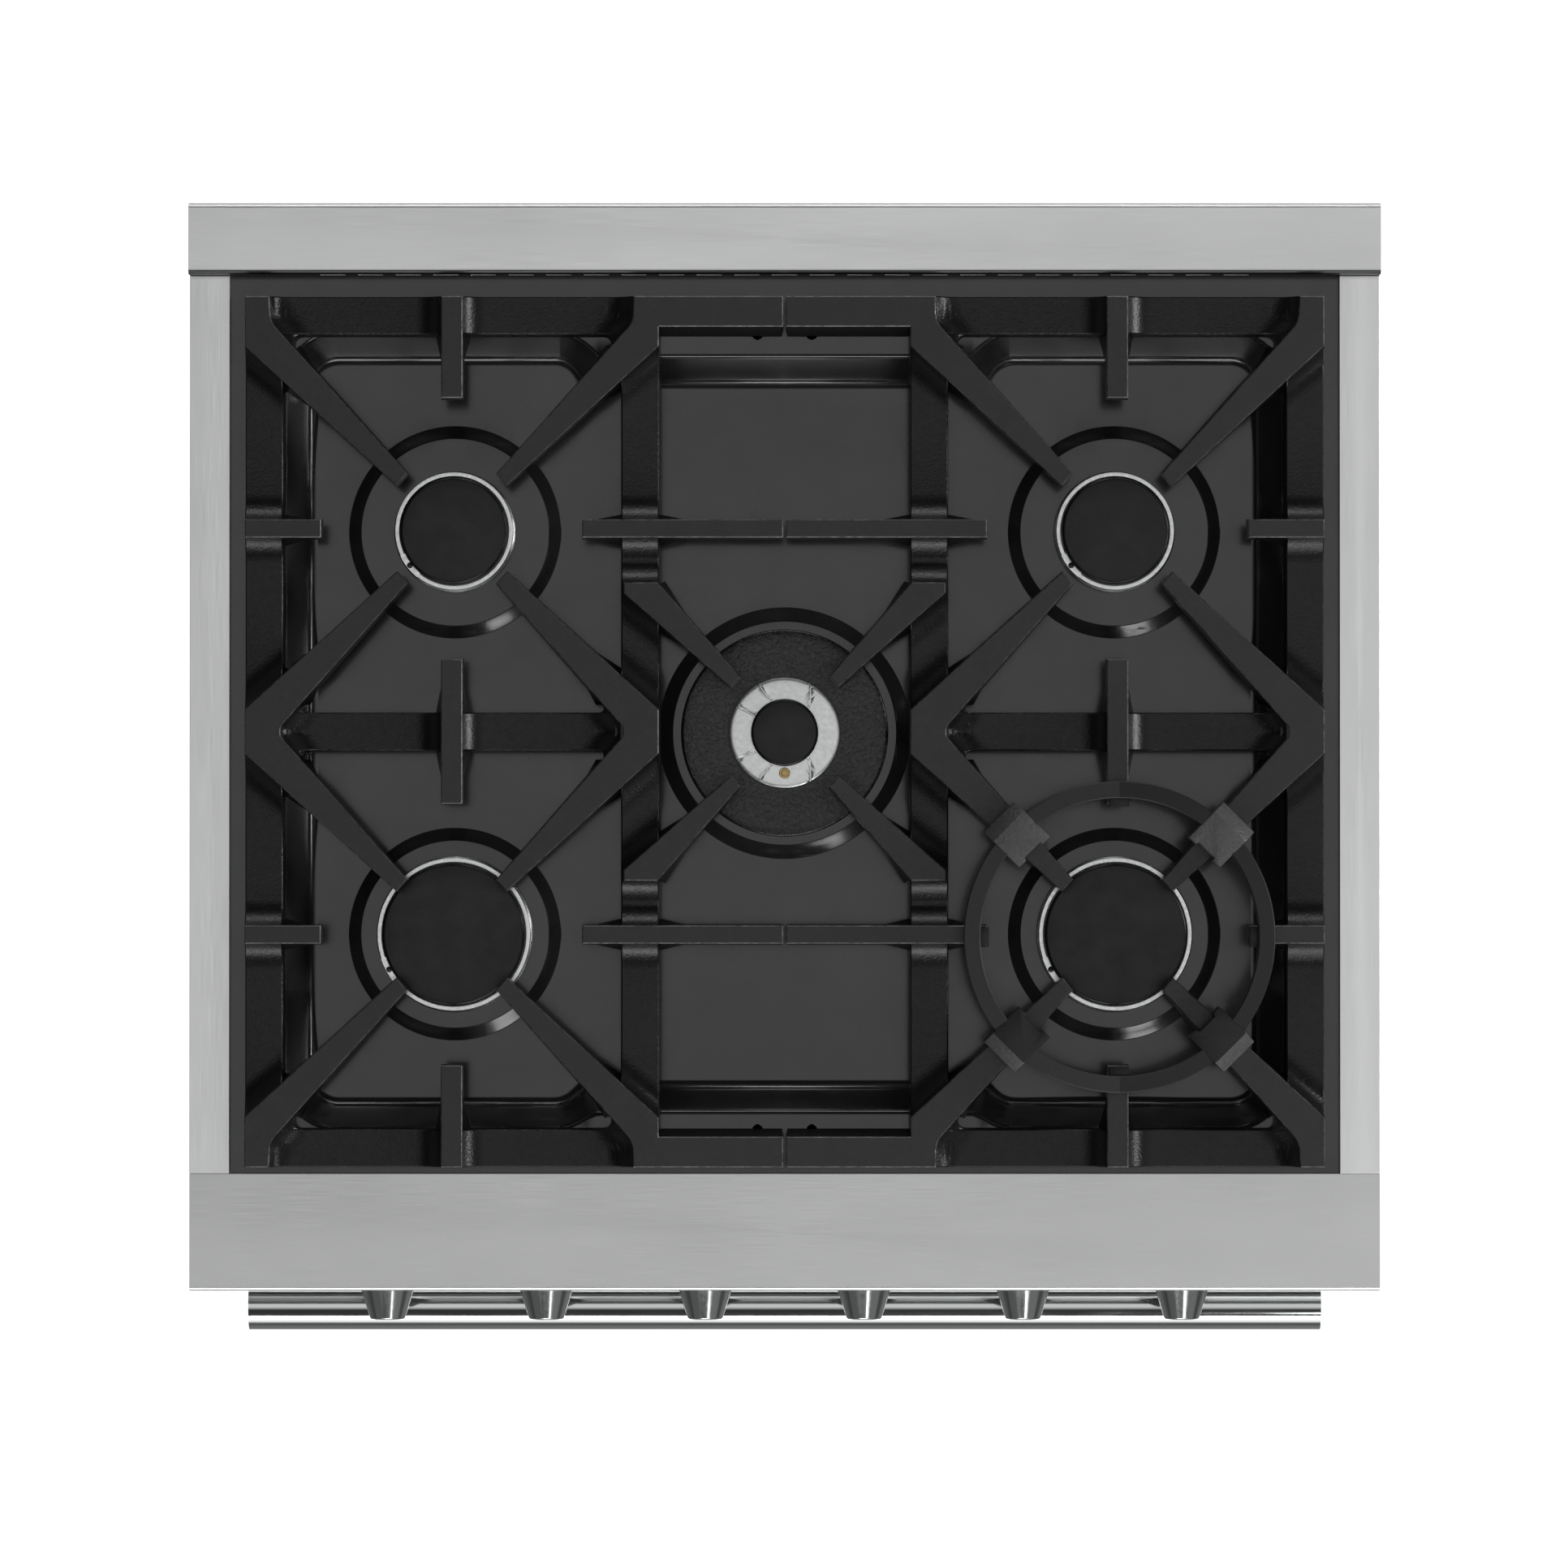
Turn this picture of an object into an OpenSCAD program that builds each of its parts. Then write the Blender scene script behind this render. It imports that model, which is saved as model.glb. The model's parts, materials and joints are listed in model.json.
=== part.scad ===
// Freestanding gas range: five sealed burners, two cast grates, one oven.
// Origin: centre of the overall footprint, on the floor. +Z up, the front faces -Y.

/* [Body] */
// Width across the side panels
body_w = 759; // [755:1:765]
// Depth from the front of the ledge to the back of the rear trim
body_d = 692.6; // [690:0.2:696]
// How far the door handle stands in front of the ledge
handle_proud = 31; // [28:0.2:34]
// Height of the trims around the cooktop
trim_h = 914.4; // [912:0.4:918]
// Height of the legs
leg_h = 110; // [106:1:112]

/* [Cooktop] */
// Width of each side trim
side_trim_w = 25.4; // [24:0.2:27]
// Depth of the front ledge
ledge_d = 74.5; // [72:0.5:76]
// Depth of the rear trim
rear_trim_d = 45; // [43:0.5:47]
// Height of the rear trim above the side trims
rear_trim_rise = 17.6; // [14:0.2:22]
// Depth of the pan floor below its rim
pan_depth = 25; // [24:0.5:26]

/* [Burners] */
// Distance of the side burners from the middle, left to right
burner_x = 211.5; // [210:0.5:213]
// Distance of the side burners from the middle row, front to back
burner_y = 129; // [128:0.5:130]
// Radius of the rear burner heads
rear_head_r = 37.8; // [36:0.2:39]
// Radius of the front burner heads
front_head_r = 49; // [47:0.5:50]

/* [Grates] */
// Height of the grate tops above the trims
grate_rise = 23.6; // [22:0.2:26]
// Width of the grate rails
rail_w = 23.8; // [22:0.2:25]
// Half the depth of a grate
grate_half_d = 276.8; // [274:0.2:278]

/* [Controls] */
// Spacing of the knobs
knob_pitch = 102.25; // [98:0.25:104]
// Height of the knobs
knob_z = 858; // [856:0.5:860]
// How far a knob pushes in
knob_travel = 3; // [2:0.5:3]

/* [Door] */
// Height of the door's lower edge
door_z0 = 228; // [226:1:230]
// Radius of the handle tube
handle_r = 15.8; // [15:0.2:16]
// Length of the handle tube
handle_len = 698; // [680:1:710]
// Height of the handle
handle_z = 785; // [770:1:790]

/* [Hidden] */
$fn = 64;

// Sheet thickness and the small overlap that keeps a cut clean
sheet = 1.5;
cut = 1;

// Main planes, front to back
half_w = body_w / 2;
y_back = (body_d + handle_proud) / 2;
y_ledge = y_back - body_d;
y_handle = y_ledge - handle_proud + handle_r;
y_ledge_back = y_ledge + ledge_d;
y_rear_trim = y_back - rear_trim_d;
y_panel = y_ledge + 17;
y_frame = y_panel + 77;
y_back_panel = y_rear_trim + 4.4;
y_side_back = y_back - 2.6;
inner_w = half_w - sheet;

// Main heights
z_rim = trim_h - 8.4;
z_floor = z_rim - pan_depth;
z_grate = trim_h + grate_rise;
z_side_top = trim_h - 15;
z_ledge_under = trim_h - 24.4;
z_panel_under = z_ledge_under - 64;
z_base = leg_h + 2;

// Oven cavity, its liner and the insulation around it
cavity_x = 312.5;
cavity_z0 = 261.5;
cavity_z1 = 700.5;
cavity_y1 = y_frame + 443.5;
insulation_t = 32;
liner_x = cavity_x + sheet;
liner_z0 = cavity_z0 - sheet;
liner_z1 = cavity_z1 + sheet;
liner_y1 = cavity_y1 + sheet;
oven_feed_y = y_frame + 60;

// Door, hinged near its lower edge
door_x = half_w - 2.5;
door_z1 = z_panel_under - 4;
door_y_front = y_panel + 27;
door_y_back = y_frame - 6;
hinge_y = y_frame - 12;
hinge_z = door_z0 + 8;
hinge_x = 345;
pin_r = 4;
window_x = 200;
window_z = [400, 640];
inner_window_x = 180;
inner_window_z = [420, 620];
post_x = 290;

// Knobs and valves, from left to right; the last one is the oven's
knob_x = [for (i = [0:5]) (i - 2.5) * knob_pitch];
knob_gap = knob_travel + 0.5;
knob_len = 39.5 - knob_gap;
knob_front_r = 11;
knob_taper = tan(17.8);
spindle_r = 3;
spindle_clear = 0.05;
manifold_y = y_frame - 15;
manifold_z = knob_z - 12;
manifold_r = 10;
valve_y = [y_panel + 5, y_panel + 43];

// Burners
mid_y = y_ledge_back + 281.65;
rear_y = mid_y + burner_y;
front_y = mid_y - burner_y;
neck_r = 21.5;
neck_h = 25;
head_h = 19;
ring_groove = [60, 67.5];
center_base_r = 66.5;
center_groove = [73, 81];
center_head_r = 35.5;
center_cap_r = 21.5;
center_rise = 6;
rear_igniter = 218;
front_igniter = 217;

// Grates
frame_half_w = 131.5;
grate_gap = 0.9;
rail_drop = 9;
rail_h = 19;
finger_h = 17;
wok_pos = [burner_x + 0.4, front_y - 1.5];
wok_outer_r = 98.6;
wok_inner_r = 88;
wok_h = 22;

// ---------------------------------------------------------------- helpers

module block(low, high) {
    translate(low) cube(high - low);
}

module mirrored() {
    children();
    mirror([1, 0, 0]) children();
}

// Round bar between two points
module bar(a, b, r) {
    d = b - a;
    len = norm(d);
    translate(a)
        rotate([0, acos(d[2] / len), atan2(d[1], d[0])])
            cylinder(h = len, r = r, $fn = 32);
}

// Round bars along a list of points, with ball elbows that can stand a little proud
module bar_path(points, r, proud = 0) {
    for (i = [0:len(points) - 2]) bar(points[i], points[i + 1], r);
    for (i = [1:1:len(points) - 2]) translate(points[i]) sphere(r = r + proud, $fn = 32);
}

// Outline in the Y-Z plane, extruded across the width from x0 to x1
module across(x0, x1, points) {
    translate([x0, 0, 0])
        rotate([90, 0, 90])
            linear_extrude(x1 - x0) polygon(points);
}

// Outline in the X-Z plane, extruded front to back from y0 to y1
module along(y0, y1, points) {
    translate([0, y1, 0])
        rotate([90, 0, 0])
            linear_extrude(y1 - y0) polygon(points);
}

function arc(center, r, a0, a1, n = 6) =
    [for (i = [0:n]) center + r * [cos(a0 + (a1 - a0) * i / n), sin(a0 + (a1 - a0) * i / n)]];

// ---------------------------------------------------------------- body shell

module side_panel() {
    outline = [
        [y_frame, z_base], [y_side_back, z_base], [y_side_back, z_side_top], [y_ledge_back, z_side_top],
        [y_ledge_back, z_ledge_under], [y_panel + sheet, z_ledge_under],
        [y_panel + sheet, z_panel_under], [y_frame, z_panel_under]
    ];
    color("lightgray") across(inner_w, half_w, outline);
}

module side_panel_left() {
    mirror([1, 0, 0]) side_panel();
}

module side_panel_right() {
    side_panel();
}

module back_panel() {
    color("silver") difference() {
        block([-inner_w, y_back_panel, z_base], [inner_w, y_back_panel + sheet, z_side_top]);
        translate([-360, y_back_panel - cut, manifold_z]) rotate([-90, 0, 0])
            cylinder(h = 4, r = manifold_r + 2);
        translate([300, y_back_panel - cut, 160]) rotate([-90, 0, 0]) cylinder(h = 4, r = 11.05);
        for (row = [0:1], i = [-5:5])
            translate([i * 50 - 16, y_back_panel - cut, 560 + row * 60]) cube([32, 4, 5]);
    }
}

module base_tray() {
    rail_y = [y_frame + 110, y_frame + 430];
    color("silver") {
        difference() {
            union() {
                block([-inner_w, y_frame, leg_h], [inner_w, y_back_panel + sheet, z_base]);
                mirrored() block([inner_w - 2, y_frame + 2, z_base], [inner_w, y_back_panel, z_base + 28]);
                for (y = rail_y)
                    block([-inner_w + 2, y - 1, z_base], [inner_w - 2, y + 1, liner_z0 - insulation_t]);
            }
            for (y = rail_y, i = [-3:3])
                translate([i * 90, y + 3, 170]) rotate([90, 0, 0]) cylinder(h = 6, r = 22);
        }
    }
}

module front_frame() {
    color("dimgray") difference() {
        block([-half_w, y_frame - 2, door_z0], [half_w, y_frame, z_panel_under]);
        block([-cavity_x, y_frame - 3, cavity_z0], [cavity_x, y_frame + cut, cavity_z1]);
        for (i = [-6:6]) translate([i * 44 - 14, y_frame - 3, 770]) cube([28, 4, 6]);
    }
}

module kick_panel() {
    color("lightgray") {
        block([-half_w, y_frame - sheet, 60], [half_w, y_frame, door_z0 - 4]);
        block([-inner_w, y_frame, 60], [inner_w, y_frame + 14, 60 + sheet]);
        mirrored() block([300, y_frame, leg_h - 20], [340, y_frame + 14, leg_h]);
    }
}

module leg() {
    profile = [
        [0, 0], [22, 0], [22, 4], [20, 7], [15, 9], [15, 38], [19.5, 38], [19.5, leg_h - 5],
        [24, leg_h - 5], [24, leg_h], [0, leg_h]
    ];
    rotate_extrude() polygon(profile);
    translate([0, 0, 20]) cylinder(h = 9, r = 18, $fn = 6);
}

module legs() {
    color("gray") for (x = [-330, 330], y = [y_frame + 45, y_frame + 510]) translate([x, y, 0]) leg();
}

// ---------------------------------------------------------------- trims and panels

module front_ledge() {
    bend = 2.5;
    outline = concat(
        [[y_ledge_back, z_rim], [y_ledge_back, trim_h]],
        arc([y_ledge + bend, trim_h - bend], bend, 90, 180),
        arc([y_ledge + bend, z_ledge_under + bend], bend, 180, 270),
        [[y_panel + sheet, z_ledge_under], [y_panel + sheet, z_ledge_under + sheet]],
        arc([y_ledge + bend, z_ledge_under + bend], bend - sheet, 270, 180),
        arc([y_ledge + bend, trim_h - bend], bend - sheet, 180, 90),
        [[y_ledge_back - sheet, trim_h - sheet], [y_ledge_back - sheet, z_rim]]
    );
    end_cap = concat(
        [[y_ledge_back, z_ledge_under], [y_ledge_back, trim_h]],
        arc([y_ledge + bend, trim_h - bend], bend, 90, 180),
        arc([y_ledge + bend, z_ledge_under + bend], bend, 180, 270)
    );
    color("lightgray") {
        across(-half_w, half_w, outline);
        mirrored() across(inner_w, half_w, end_cap);
    }
}

module control_panel() {
    color("lightgray") difference() {
        union() {
            block([-half_w, y_panel, z_panel_under], [half_w, y_panel + sheet, z_ledge_under]);
            block([-inner_w, y_panel + sheet, z_panel_under], [inner_w, y_frame, z_panel_under + sheet]);
        }
        for (x = knob_x)
            translate([x, y_panel + 3, knob_z]) rotate([90, 0, 0]) cylinder(h = 6, r = 7);
    }
}

module rear_trim() {
    z_top = trim_h + rear_trim_rise;
    z_low = z_side_top;
    bend = 3;
    outline = concat(
        [[y_rear_trim, z_rim]],
        arc([y_rear_trim + bend, z_top - bend], bend, 180, 90),
        arc([y_back - bend, z_top - bend], bend, 90, 0),
        [
            [y_back, z_low], [y_back_panel + sheet, z_low], [y_back_panel + sheet, z_low + sheet],
            [y_back - sheet, z_low + sheet]
        ],
        arc([y_back - bend, z_top - bend], bend - sheet, 0, 90),
        arc([y_rear_trim + bend, z_top - bend], bend - sheet, 90, 180),
        [[y_rear_trim + sheet, z_rim]]
    );
    cap = concat(
        [[y_rear_trim, z_rim]],
        arc([y_rear_trim + bend, z_top - bend], bend, 180, 90),
        arc([y_back - bend, z_top - bend], bend, 90, 0),
        [[y_back, z_low], [y_back_panel + sheet, z_low], [y_back_panel + sheet, z_rim]]
    );
    color("lightgray") {
        difference() {
            across(-half_w, half_w, outline);
            for (i = [-12:12]) translate([i * 24 - 8, y_rear_trim - cut, trim_h + 2]) cube([16, 4, 7]);
        }
        mirrored() across(inner_w, half_w, cap);
    }
}

module side_trim() {
    seam = 0.3;
    outline = [
        [half_w - side_trim_w, z_rim], [half_w - side_trim_w, trim_h], [half_w, trim_h], [half_w, z_side_top],
        [inner_w, z_side_top], [inner_w, trim_h - sheet], [half_w - side_trim_w + sheet, trim_h - sheet],
        [half_w - side_trim_w + sheet, z_rim]
    ];
    color("lightgray") along(y_ledge_back + seam, y_rear_trim - seam, outline);
}

module side_trim_left() {
    mirror([1, 0, 0]) side_trim();
}

module side_trim_right() {
    side_trim();
}

// ---------------------------------------------------------------- cooktop pan

// A tapered well: round-cornered floor from low to high, growing by flare to the top
module well(low, high, z0, depth, r, flare) {
    hull() for (x = [low[0] + r, high[0] - r], y = [low[1] + r, high[1] - r])
        translate([x, y, z0]) cylinder(h = depth, r1 = r, r2 = r + flare, $fn = 32);
}

module wells(grow, z0, depth) {
    flare = 15;
    side_low = [130, mid_y - 237.7];
    side_high = [304, mid_y + 240.1];
    r = 18;
    g = [grow, grow];
    well(side_low - g, side_high + g, z0, depth, r + grow, flare);
    well([-side_high[0], side_low[1]] - g, [-side_low[0], side_high[1]] + g, z0, depth, r + grow, flare);
    well([-160, mid_y - 226.8] - g, [160, mid_y + 225.1] + g, z0, depth, r + grow, flare);
}

module ring(r0, r1, z0, z1) {
    rotate_extrude() translate([r0, z0]) square([r1 - r0, z1 - z0]);
}

module at_side_burners() {
    for (x = [-burner_x, burner_x], y = [rear_y, front_y]) translate([x, y, 0]) children();
}

// Metal under a pressed ring
module ring_below(radii) {
    ring(radii[0] - sheet, radii[1] + sheet, z_floor - sheet - 2.2, z_floor - 0.5);
}

module cooktop_pan() {
    groove = 2;
    hole_y = [mid_y - 253.7, mid_y + 254.3];
    color("black") difference() {
        union() {
            block([-half_w + 4, y_ledge_back - 8, z_rim - sheet], [half_w - 4, y_rear_trim + 3, z_rim]);
            wells(sheet, z_floor - sheet, pan_depth);
            at_side_burners() ring_below(ring_groove);
            translate([0, mid_y, 0]) ring_below(center_groove);
        }
        wells(0, z_floor, pan_depth + 0.01);
        at_side_burners() {
            ring(ring_groove[0], ring_groove[1], z_floor - groove, z_floor + cut);
            translate([0, 0, z_floor - 5]) cylinder(h = 10, r = neck_r + 0.5);
        }
        translate([0, mid_y, 0]) {
            ring(center_groove[0], center_groove[1], z_floor - groove, z_floor + cut);
            translate([0, 0, z_floor - 5]) cylinder(h = 10, r = neck_r + 0.5);
        }
        for (x = [-17.3, 17.3], y = hole_y) translate([x, y, z_rim - 3]) cylinder(h = 6, r = 3.6);
    }
}

// ---------------------------------------------------------------- burners

// Sealed burner head with flame ports, a neck through the pan and a lug for the igniter
module burner_head(r, ports, angle) {
    z0 = z_floor;
    z1 = z_floor + head_h;
    bore_r = neck_r - 3;
    lug_r = 5.5;
    profile = [
        [bore_r, z0 - neck_h], [neck_r, z0 - neck_h], [neck_r, z0], [r + 1.5, z0], [r + 1.5, z0 + 2.5],
        [r - 1, z0 + 4], [r - 1, z1 - 7], [r, z1 - 6.4], [r, z1], [r - 6, z1], [r - 6, z1 - 8],
        [bore_r, z1 - 8]
    ];
    difference() {
        union() {
            rotate_extrude() polygon(profile);
            rotate([0, 0, angle]) translate([r - 1.6, 0, z0]) cylinder(h = head_h - 1, r = lug_r);
        }
        rotate([0, 0, angle]) translate([r - 0.6, 0, z0 - cut]) cylinder(h = head_h + 3, r = 2.6);
        rotate([0, 0, angle]) translate([r - 16, -lug_r, z1 - 8]) cube([10, 2 * lug_r, 9]);
        for (i = [1:ports - 1])
            rotate([0, 0, angle + i * 360 / ports])
                translate([r - 7, -1, z1 - 6.5]) cube([9, 2, 4]);
    }
}

module burner_head_rear_left() {
    color("silver") translate([-burner_x, rear_y, 0]) burner_head(rear_head_r, 20, rear_igniter);
}

module burner_head_rear_right() {
    color("silver") translate([burner_x, rear_y, 0]) burner_head(rear_head_r, 20, rear_igniter);
}

module burner_head_front_left() {
    color("silver") translate([-burner_x, front_y, 0]) burner_head(front_head_r, 26, front_igniter);
}

module burner_head_front_right() {
    color("silver") translate([burner_x, front_y, 0]) burner_head(front_head_r, 26, front_igniter);
}

module burner_base_center() {
    profile = concat(
        [[neck_r - 3, z_floor - neck_h], [neck_r, z_floor - neck_h], [neck_r, z_floor]],
        [[center_base_r, z_floor]],
        arc([center_base_r - 2, z_floor + 2], 2, 0, 90),
        [[38, z_floor + center_rise], [neck_r - 3, z_floor + center_rise]]
    );
    color("black") translate([0, mid_y, 0]) rotate_extrude() polygon(profile);
}

module burner_head_center() {
    z0 = z_floor + center_rise;
    z1 = z0 + 10;
    slots = 16;
    profile = [
        [neck_r - 4, z0], [center_head_r, z0], [center_head_r, z1 - 4], [center_head_r - 3, z1 - 1.2],
        [center_cap_r + 1, z1], [neck_r - 4, z1]
    ];
    color("silver") translate([0, mid_y, 0]) difference() {
        rotate_extrude() polygon(profile);
        translate([0, -25.9, z0 - cut]) cylinder(h = 14, r = 3.6);
        for (i = [0:slots - 1]) rotate([0, 0, (i + 0.5) * 360 / slots])
            translate([center_head_r - 9, -0.5, z1 - 3.5]) cube([11, 1, 5]);
    }
}

// Loose cap with a rounded edge and a locating ring below
module burner_cap(r, z0, h, spigot_r) {
    edge = 2.5;
    profile = concat(
        [[0, z0], [spigot_r - 2, z0], [spigot_r - 2, z0 - 3], [spigot_r, z0 - 3], [spigot_r, z0], [r, z0]],
        arc([r - edge, z0 + h - edge], edge, 0, 90),
        [[r * 0.5, z0 + h + 0.5], [0, z0 + h + 0.6]]
    );
    rotate_extrude() polygon(profile);
}

module side_cap(r, x, y) {
    color("dimgray") translate([x, y, 0]) burner_cap(r, z_floor + head_h + 0.05, 8, r - 4);
}

module burner_cap_rear_left() {
    side_cap(rear_head_r - 3, -burner_x, rear_y);
}

module burner_cap_rear_right() {
    side_cap(rear_head_r - 3, burner_x, rear_y);
}

module burner_cap_front_left() {
    side_cap(front_head_r - 3, -burner_x, front_y);
}

module burner_cap_front_right() {
    side_cap(front_head_r - 3, burner_x, front_y);
}

module burner_cap_center() {
    color("dimgray") translate([0, mid_y, 0])
        burner_cap(center_cap_r, z_floor + center_rise + 10.05, 6, neck_r - 4.3);
}

// Spark electrodes, one for each burner
module igniters() {
    color("ivory") {
        rows = [[rear_y, rear_head_r, rear_igniter], [front_y, front_head_r, front_igniter]];
        for (x = [-burner_x, burner_x], row = rows)
            translate([x, row[0], z_floor + 0.2])
                rotate([0, 0, row[2]])
                    translate([row[1] - 0.6, 0, 0]) {
                        cylinder(h = head_h - 4, r = 2.5, $fn = 32);
                        translate([0, 0, head_h - 4]) cylinder(h = 2, r = 1.1, $fn = 32);
                    }
        translate([0, mid_y - 25.9, z_floor + center_rise + 0.2]) {
            cylinder(h = 10.8, r = 3.5, $fn = 32);
            translate([0, 0, 10.8]) cylinder(h = 1.5, r = 1.6, $fn = 32);
        }
    }
}

// ---------------------------------------------------------------- gas and power

module gas_manifold() {
    x_left = -360;
    y_out = y_back - 20.5;
    elbow = 0.8;
    route = [
        [280, manifold_y, manifold_z], [x_left, manifold_y, manifold_z], [x_left, y_out, manifold_z],
        [x_left, y_out, 240]
    ];
    color("silver") difference() {
        bar_path(route, manifold_r, elbow);
        for (x = knob_x)
            translate([x, manifold_y, manifold_z]) rotate([90, 0, 0]) cylinder(h = 14, r = 5.05, $fn = 32);
    }
}

module gas_valve(x) {
    translate([x, 0, 0]) difference() {
        union() {
            block([-13, valve_y[0], knob_z - 18], [13, valve_y[1], knob_z + 16]);
            translate([0, valve_y[0] + cut, knob_z]) rotate([90, 0, 0]) cylinder(h = 4, r = 6.4, $fn = 32);
            translate([0, manifold_y - 7, manifold_z]) rotate([90, 0, 0])
                cylinder(h = manifold_y - 6 - valve_y[1], r = 5, $fn = 32);
        }
        translate([0, y_panel + 41, knob_z]) rotate([90, 0, 0])
            cylinder(h = 50, r = spindle_r + spindle_clear);
    }
}

module gas_valves() {
    color("goldenrod") for (x = knob_x) gas_valve(x);
}

// Tube run: straight bars that end in the short upright elbow fittings at every bend
module tube_run(points, r) {
    gap = r + 0.2;
    last = len(points) - 1;
    for (i = [0:last - 1]) {
        step = points[i + 1] - points[i];
        unit = step / norm(step);
        bar(points[i] + unit * (i == 0 ? 0 : gap), points[i + 1] - unit * (i == last - 1 ? 0 : gap), r);
    }
    for (i = [1:1:last - 1]) translate(points[i] - [0, 0, r + 1]) cylinder(h = 2 * r + 2, r = r + 2.5, $fn = 32);
}

// Feed tubes from the valves to the burner necks, and one down to the oven burner
module feed_tubes() {
    r = 3.5;
    stub = [0, 8, 0];
    high = knob_z + 11;
    low = knob_z + 3.5;
    y0 = valve_y[1] + 0.2;
    feeds = [
        [knob_x[0], -burner_x, rear_y, low], [knob_x[1], -burner_x, front_y, high],
        [knob_x[2], 0, mid_y, high], [knob_x[3], burner_x, front_y, high],
        [knob_x[4], burner_x, rear_y, low]
    ];
    side_x = 363;
    under_z = 190;
    color("silver") {
        for (f = feeds) {
            start = [f[0], y0, f[3]];
            target = [f[1], f[2], f[3]];
            reach = target - start - stub;
            tube_run([start, start + stub, target - reach / norm(reach) * (neck_r + 0.3)], r);
        }
        tube_run([
            [knob_x[5], y0, high], [knob_x[5], y0, high] + stub, [side_x, oven_feed_y, high],
            [side_x, oven_feed_y, under_z], [0, oven_feed_y, under_z], [0, oven_feed_y, cavity_z0 + 6]
        ], r);
    }
}

// Pressure regulator in the recess behind the back panel; its inlet thread faces down
module gas_regulator() {
    x0 = -374;
    y0 = y_back_panel + sheet;
    low = [x0, y0, 178];
    high = [x0 + 52, y_back - 4, 240];
    inlet = [x0 + 26, (low[1] + high[1]) / 2, 178];
    color("goldenrod") difference() {
        union() {
            block(low, high);
            translate([x0 + 39, inlet[1], 240]) cylinder(h = 12, r = 9);
            translate(inlet - [0, 0, 8]) cylinder(h = 8, r = 15, $fn = 6);
        }
        translate(inlet - [0, 0, 9]) cylinder(h = 17 + cut, r = 9.3);
    }
}

// Bushing where a supply lead would enter
module power_gland() {
    y0 = y_back_panel + sheet;
    color("black") translate([300, y0, 160]) rotate([-90, 0, 0]) difference() {
        union() {
            cylinder(h = 6, r = 15);
            translate([0, 0, -9]) cylinder(h = 9, r = 11);
        }
        translate([0, 0, -10]) cylinder(h = 17, r = 4.5);
    }
}

// ---------------------------------------------------------------- oven

module oven_liner() {
    color("midnightblue") difference() {
        block([-liner_x, y_frame, liner_z0], [liner_x, liner_y1, liner_z1]);
        block([-cavity_x, y_frame - cut, cavity_z0], [cavity_x, cavity_y1, cavity_z1]);
        translate([0, oven_feed_y, liner_z0 - cut]) cylinder(h = 4, r = 8);
        for (i = [-4:4]) translate([i * 20 - 6, cavity_y1 - 53.5, liner_z1 - 3]) cube([12, 30, 5]);
    }
}

module oven_insulation() {
    t = insulation_t;
    color("lightyellow") difference() {
        block([-liner_x - t, y_frame + 2, liner_z0 - t], [liner_x + t, liner_y1 + t, liner_z1 + t]);
        block([-liner_x, y_frame + cut, liner_z0], [liner_x, liner_y1, liner_z1]);
        translate([0, oven_feed_y, liner_z0 - t - cut]) cylinder(h = t + 2, r = 8);
        block([-90, cavity_y1 - 55.5, liner_z1 - cut], [90, cavity_y1 - 21.5, liner_z1 + t + cut]);
    }
}

module oven_floor() {
    x = 296;
    z = cavity_z0 + 24;
    y0 = y_frame + 10;
    color("midnightblue") {
        difference() {
            block([-x, y0, z - sheet], [x, cavity_y1 - 6, z]);
            for (s = [-1, 1], i = [0:7])
                translate([s * 270 - 4, y0 + 30 + i * 48, z - 3]) cube([8, 30, 5]);
        }
        mirrored() block([x - sheet, y0, cavity_z0], [x, cavity_y1 - 6, z - sheet]);
    }
}

module oven_burner() {
    r = 8;
    z = cavity_z0 + 11.5;
    x = 160;
    y1 = cavity_y1 - 53.5;
    color("silver") difference() {
        union() {
            bar_path([
                [0, oven_feed_y, z], [x, oven_feed_y, z], [x, y1, z], [-x, y1, z], [-x, oven_feed_y, z],
                [0, oven_feed_y, z]
            ], r);
            for (sx = [-x, x], y = [oven_feed_y + 40, y1 - 40])
                block([sx - 6, y - 4, cavity_z0], [sx + 6, y + 4, z]);
        }
        translate([0, oven_feed_y, cavity_z0 - cut]) cylinder(h = 9, r = 3.6, $fn = 32);
    }
}

module rack_guides() {
    wire = 3;
    levels = [360, 440, 520, 600];
    color("silver") mirrored() {
        for (y = [y_frame + 50, cavity_y1 - 43.5]) {
            bar([307.5, y, 300], [307.5, y, 660], wire);
            for (z = [310, 650]) bar([307.5, y, z], [cavity_x, y, z], 2);
        }
        for (z = levels) bar([303, y_frame + 20, z], [303, cavity_y1 - 18.5, z], wire);
    }
}

module oven_rack(level) {
    wire = 3;
    z = level + 2 * wire + 0.3;
    x = 301;
    y0 = y_frame + 16;
    y1 = cavity_y1 - 15.5;
    color("silver") {
        bar_path([[0, y0, z], [x, y0, z], [x, y1, z], [-x, y1, z], [-x, y0, z], [0, y0, z]], wire);
        bar([-x, (y0 + y1) / 2, z - 1.5], [x, (y0 + y1) / 2, z - 1.5], wire - 0.5);
        for (i = [-8:8]) bar([i * 33, y0, z], [i * 33, y1, z], 2);
    }
}

module oven_rack_lower() {
    oven_rack(360);
}

module oven_rack_upper() {
    oven_rack(520);
}

module door_gasket() {
    color("dimgray") difference() {
        block([-332, door_y_back + 0.2, 246], [332, y_frame - 2, 716]);
        block([-322, door_y_back - cut, 256], [322, y_frame + cut, 706]);
    }
}

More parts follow.
